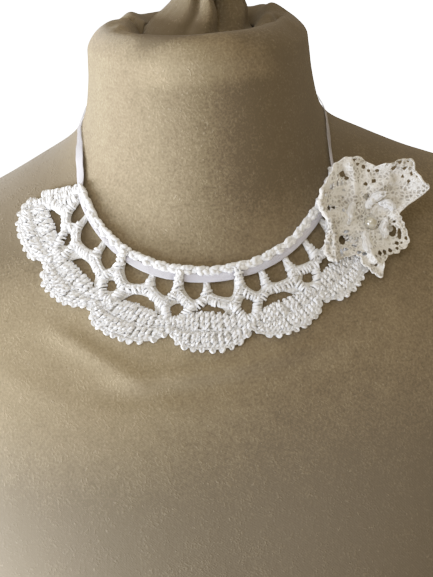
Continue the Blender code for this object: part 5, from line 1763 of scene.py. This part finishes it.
# %% Sewing threads
THREAD_RADIUS = 0.22
RING_RADIUS = 0.38


def pearl_threads():
    """The thread that leaves the bead's two holes, and a wound ring under it."""
    meshes = []
    foot = float(rosette.wall(FLOWER_EYE, 0.0)) + FLOWER_WALL
    top = (pearl_centre - rosette.centre) @ rosette.out
    for side in (-1, 1):
        part = np.linspace(0, 1, 12)
        x = side * (PEARL_RADIUS - 0.5 + 1.6 * np.sin(part * 2.2))
        y = side * 0.25 * PEARL_RADIUS * (1 - part)
        z = top + (foot - 0.6 - top) * part**1.2
        meshes.append(bent_yarn([rosette.point(x, y, z)], THREAD_RADIUS))
    turn = np.linspace(0, 2 * math.pi * 3, 120)
    reach = 3.9 + 0.25 * np.sin(turn * 1.37)
    height = foot + 0.35 + 0.25 * np.sin(turn * 2.1)
    ring = rosette.point(reach * np.cos(turn), reach * np.sin(turn), height)
    meshes.append(bent_yarn([ring], RING_RADIUS))
    return meshes


threads = yarn_piece("pearl_threads", pearl_threads(), SEWING)

# %% [markdown]
# ## The base panel
# Under the form the cover is turned in over a flat panel. It is a circle filled in, moved onto the
# form's lowest section, and drawn up with a bevelled edge.

# %% Base panel
# The panel's outline as a share of the form's, its place over the floor, its depth and its bevel.
PANEL_SHARE = 0.985
PANEL_LIFT = 0.3
PANEL_DEPTH = 12
PANEL_BEVEL = 1.5


def make_base():
    mesh = bmesh.new()
    bmesh.ops.create_circle(mesh, cap_ends=True, segments=96, radius=1.0)
    places = np.array([vert.co for vert in mesh.verts])
    angle = np.arctan2(places[:, 0], -places[:, 1])
    section = form.point(np.zeros(len(angle)), angle)
    for vert, (x, y, _) in zip(mesh.verts, section):
        inner_y = form.shift + (y - form.shift) * PANEL_SHARE
        vert.co = Vector((x * PANEL_SHARE, inner_y, PANEL_LIFT)) * MM
    grown = bmesh.ops.extrude_face_region(mesh, geom=mesh.faces[:])["geom"]
    raised = [item for item in grown if isinstance(item, bmesh.types.BMVert)]
    bmesh.ops.translate(mesh, verts=raised, vec=(0, 0, PANEL_DEPTH * MM))
    bmesh.ops.recalc_face_normals(mesh, faces=mesh.faces)
    rims = [edge for edge in mesh.edges if abs(edge.verts[0].co.z - edge.verts[1].co.z) < 1e-7]
    bmesh.ops.bevel(mesh, geom=rims, offset=PANEL_BEVEL * MM, segments=3, profile=0.5,
                    affect="EDGES", material=-1)
    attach(to_object("base_panel", mesh, BOARD), "root")


make_base()

# %% [markdown]
# ## Floor and light
# The photograph has a plain white ground and light from a window at the left. Two broad area lights
# stand there low, one warm and one cool, and three weak ones light the form from above. A warm dim
# sky fills the other side. The camera sees the sky as white, and a pale disc under the form catches
# its shadow in the other views.

# %% Stage
FLOOR_REACH = 1.3
# Share of the reach from where the floor fades out to its edge.
FLOOR_FADE = 0.25
FLOOR_HEIGHT = -0.0005


def floor_finish():
    """A pale matt floor that fades out towards its edge."""
    floor = Finish("pale_floor", 0.9)
    place = floor.place()
    across, along, _ = floor.parts(place)
    reach = (across * across + along * along) ** 0.5
    mottle = floor.noise(place, 14.0, 3.0)
    floor.into("Base Color", floor.mix(mottle, colour(0.80, 0.79, 0.77), colour(0.84, 0.83, 0.81)))
    fade = 1 - (reach - (1 - FLOOR_FADE) * FLOOR_REACH) / (FLOOR_FADE * FLOOR_REACH)
    floor.into("Alpha", floor.maths("MAXIMUM", floor.maths("MINIMUM", fade, 1.0), 0.0))
    return floor.material


def make_floor():
    mesh = bmesh.new()
    bmesh.ops.create_circle(mesh, cap_ends=True, segments=128, radius=FLOOR_REACH)
    floor = to_object("floor", mesh, floor_finish())
    floor.location.z = FLOOR_HEIGHT


make_floor()

# %% Lights
# Columns: name, azimuth from the front, elevation, distance, width, height, power, colour.
# Degrees, metres and watts.
LIGHTS = [
    ("window", -90.0, -8.0, 1.9, 0.7, 0.7, 118.0, (1.0, 0.98, 0.93)),
    ("second_window", -64.0, -12.0, 1.9, 0.8, 0.8, 45.0, (0.92, 1.0, 1.16)),
    ("upper_window", -82.0, 34.0, 1.9, 0.8, 0.8, 11.0, (1.0, 0.98, 0.93)),
    ("room", 10.0, 60.0, 2.2, 1.4, 1.4, 6.0, (1.0, 0.94, 0.82)),
    ("lamp", -24.0, 34.0, 2.0, 0.6, 0.6, 10.0, (1.0, 1.0, 1.0)),
]
LIGHT_AIM = Vector((0.0, 0.0, 0.42))
# The sky's colour as a light, and its strength where the camera sees it.
SKY = (0.52, 0.42, 0.275)
SEEN_SKY = 3.0


def make_light(name, azimuth, elevation, distance, width, height, power, tint):
    """An area light that faces the form's neck."""
    data = bpy.data.lights.new(name, "AREA")
    data.shape = "RECTANGLE"
    data.size, data.size_y = width, height
    data.energy, data.color = power, tint
    turn, rise = math.radians(azimuth), math.radians(elevation)
    level = math.cos(rise)
    away = Vector((math.sin(turn) * level, -math.cos(turn) * level, math.sin(rise)))
    turned = away.to_track_quat("Z", "Y").to_matrix().to_4x4()
    light = link_new(name, data)
    light.matrix_world = Matrix.Translation(LIGHT_AIM + away * distance) @ turned


def make_sky():
    """White where the camera sees it, and dim and warm as a light."""
    world = bpy.data.worlds.new("sky")
    bpy.context.scene.world = world
    world.use_nodes = True
    tree = world.node_tree
    glow = tree.nodes["Background"]
    glow.inputs["Color"].default_value = (*SKY, 1.0)
    white = tree.nodes.new("ShaderNodeBackground")
    white.inputs["Strength"].default_value = SEEN_SKY
    seen = tree.nodes.new("ShaderNodeLightPath")
    join = tree.nodes.new("ShaderNodeMixShader")
    tree.links.new(seen.outputs["Is Camera Ray"], join.inputs[0])
    tree.links.new(glow.outputs[0], join.inputs[1])
    tree.links.new(white.outputs[0], join.inputs[2])
    tree.links.new(join.outputs[0], tree.nodes["World Output"].inputs["Surface"])


for row in LIGHTS:
    make_light(*row)
make_sky()
print("lights", len(LIGHTS))

# %% Film
# The brightness in the scene that the picture shows as white.
FILM_WHITE = 2.0
# Columns: brightness in the scene, brightness in the picture.
FILM_CURVE = [(0.1, 0.1), (0.3, 0.285), (0.6, 0.5), (1.0, 0.72), (1.5, 0.88)]


def make_film():
    """A tone curve like a phone camera's: bright parts roll off instead of clipping."""
    view = bpy.context.scene.view_settings
    view.view_transform = "Standard"
    view.use_curve_mapping = True
    mapping = view.curve_mapping
    mapping.white_level = (FILM_WHITE,) * 3
    whole = mapping.curves[3]
    for light, shown in FILM_CURVE:
        whole.points.new(light / FILM_WHITE, shown)
    mapping.update()


make_film()
print("film curve", FILM_CURVE)

# %% [markdown]
# ## Areas of the cloth
# The area of each fan's ground and of the lace is divided by a number, and the results are not
# kept.

# %% Sheets
for stitches, ground, area in fans.values():
    area / 0.0135
lace_area / 0.03
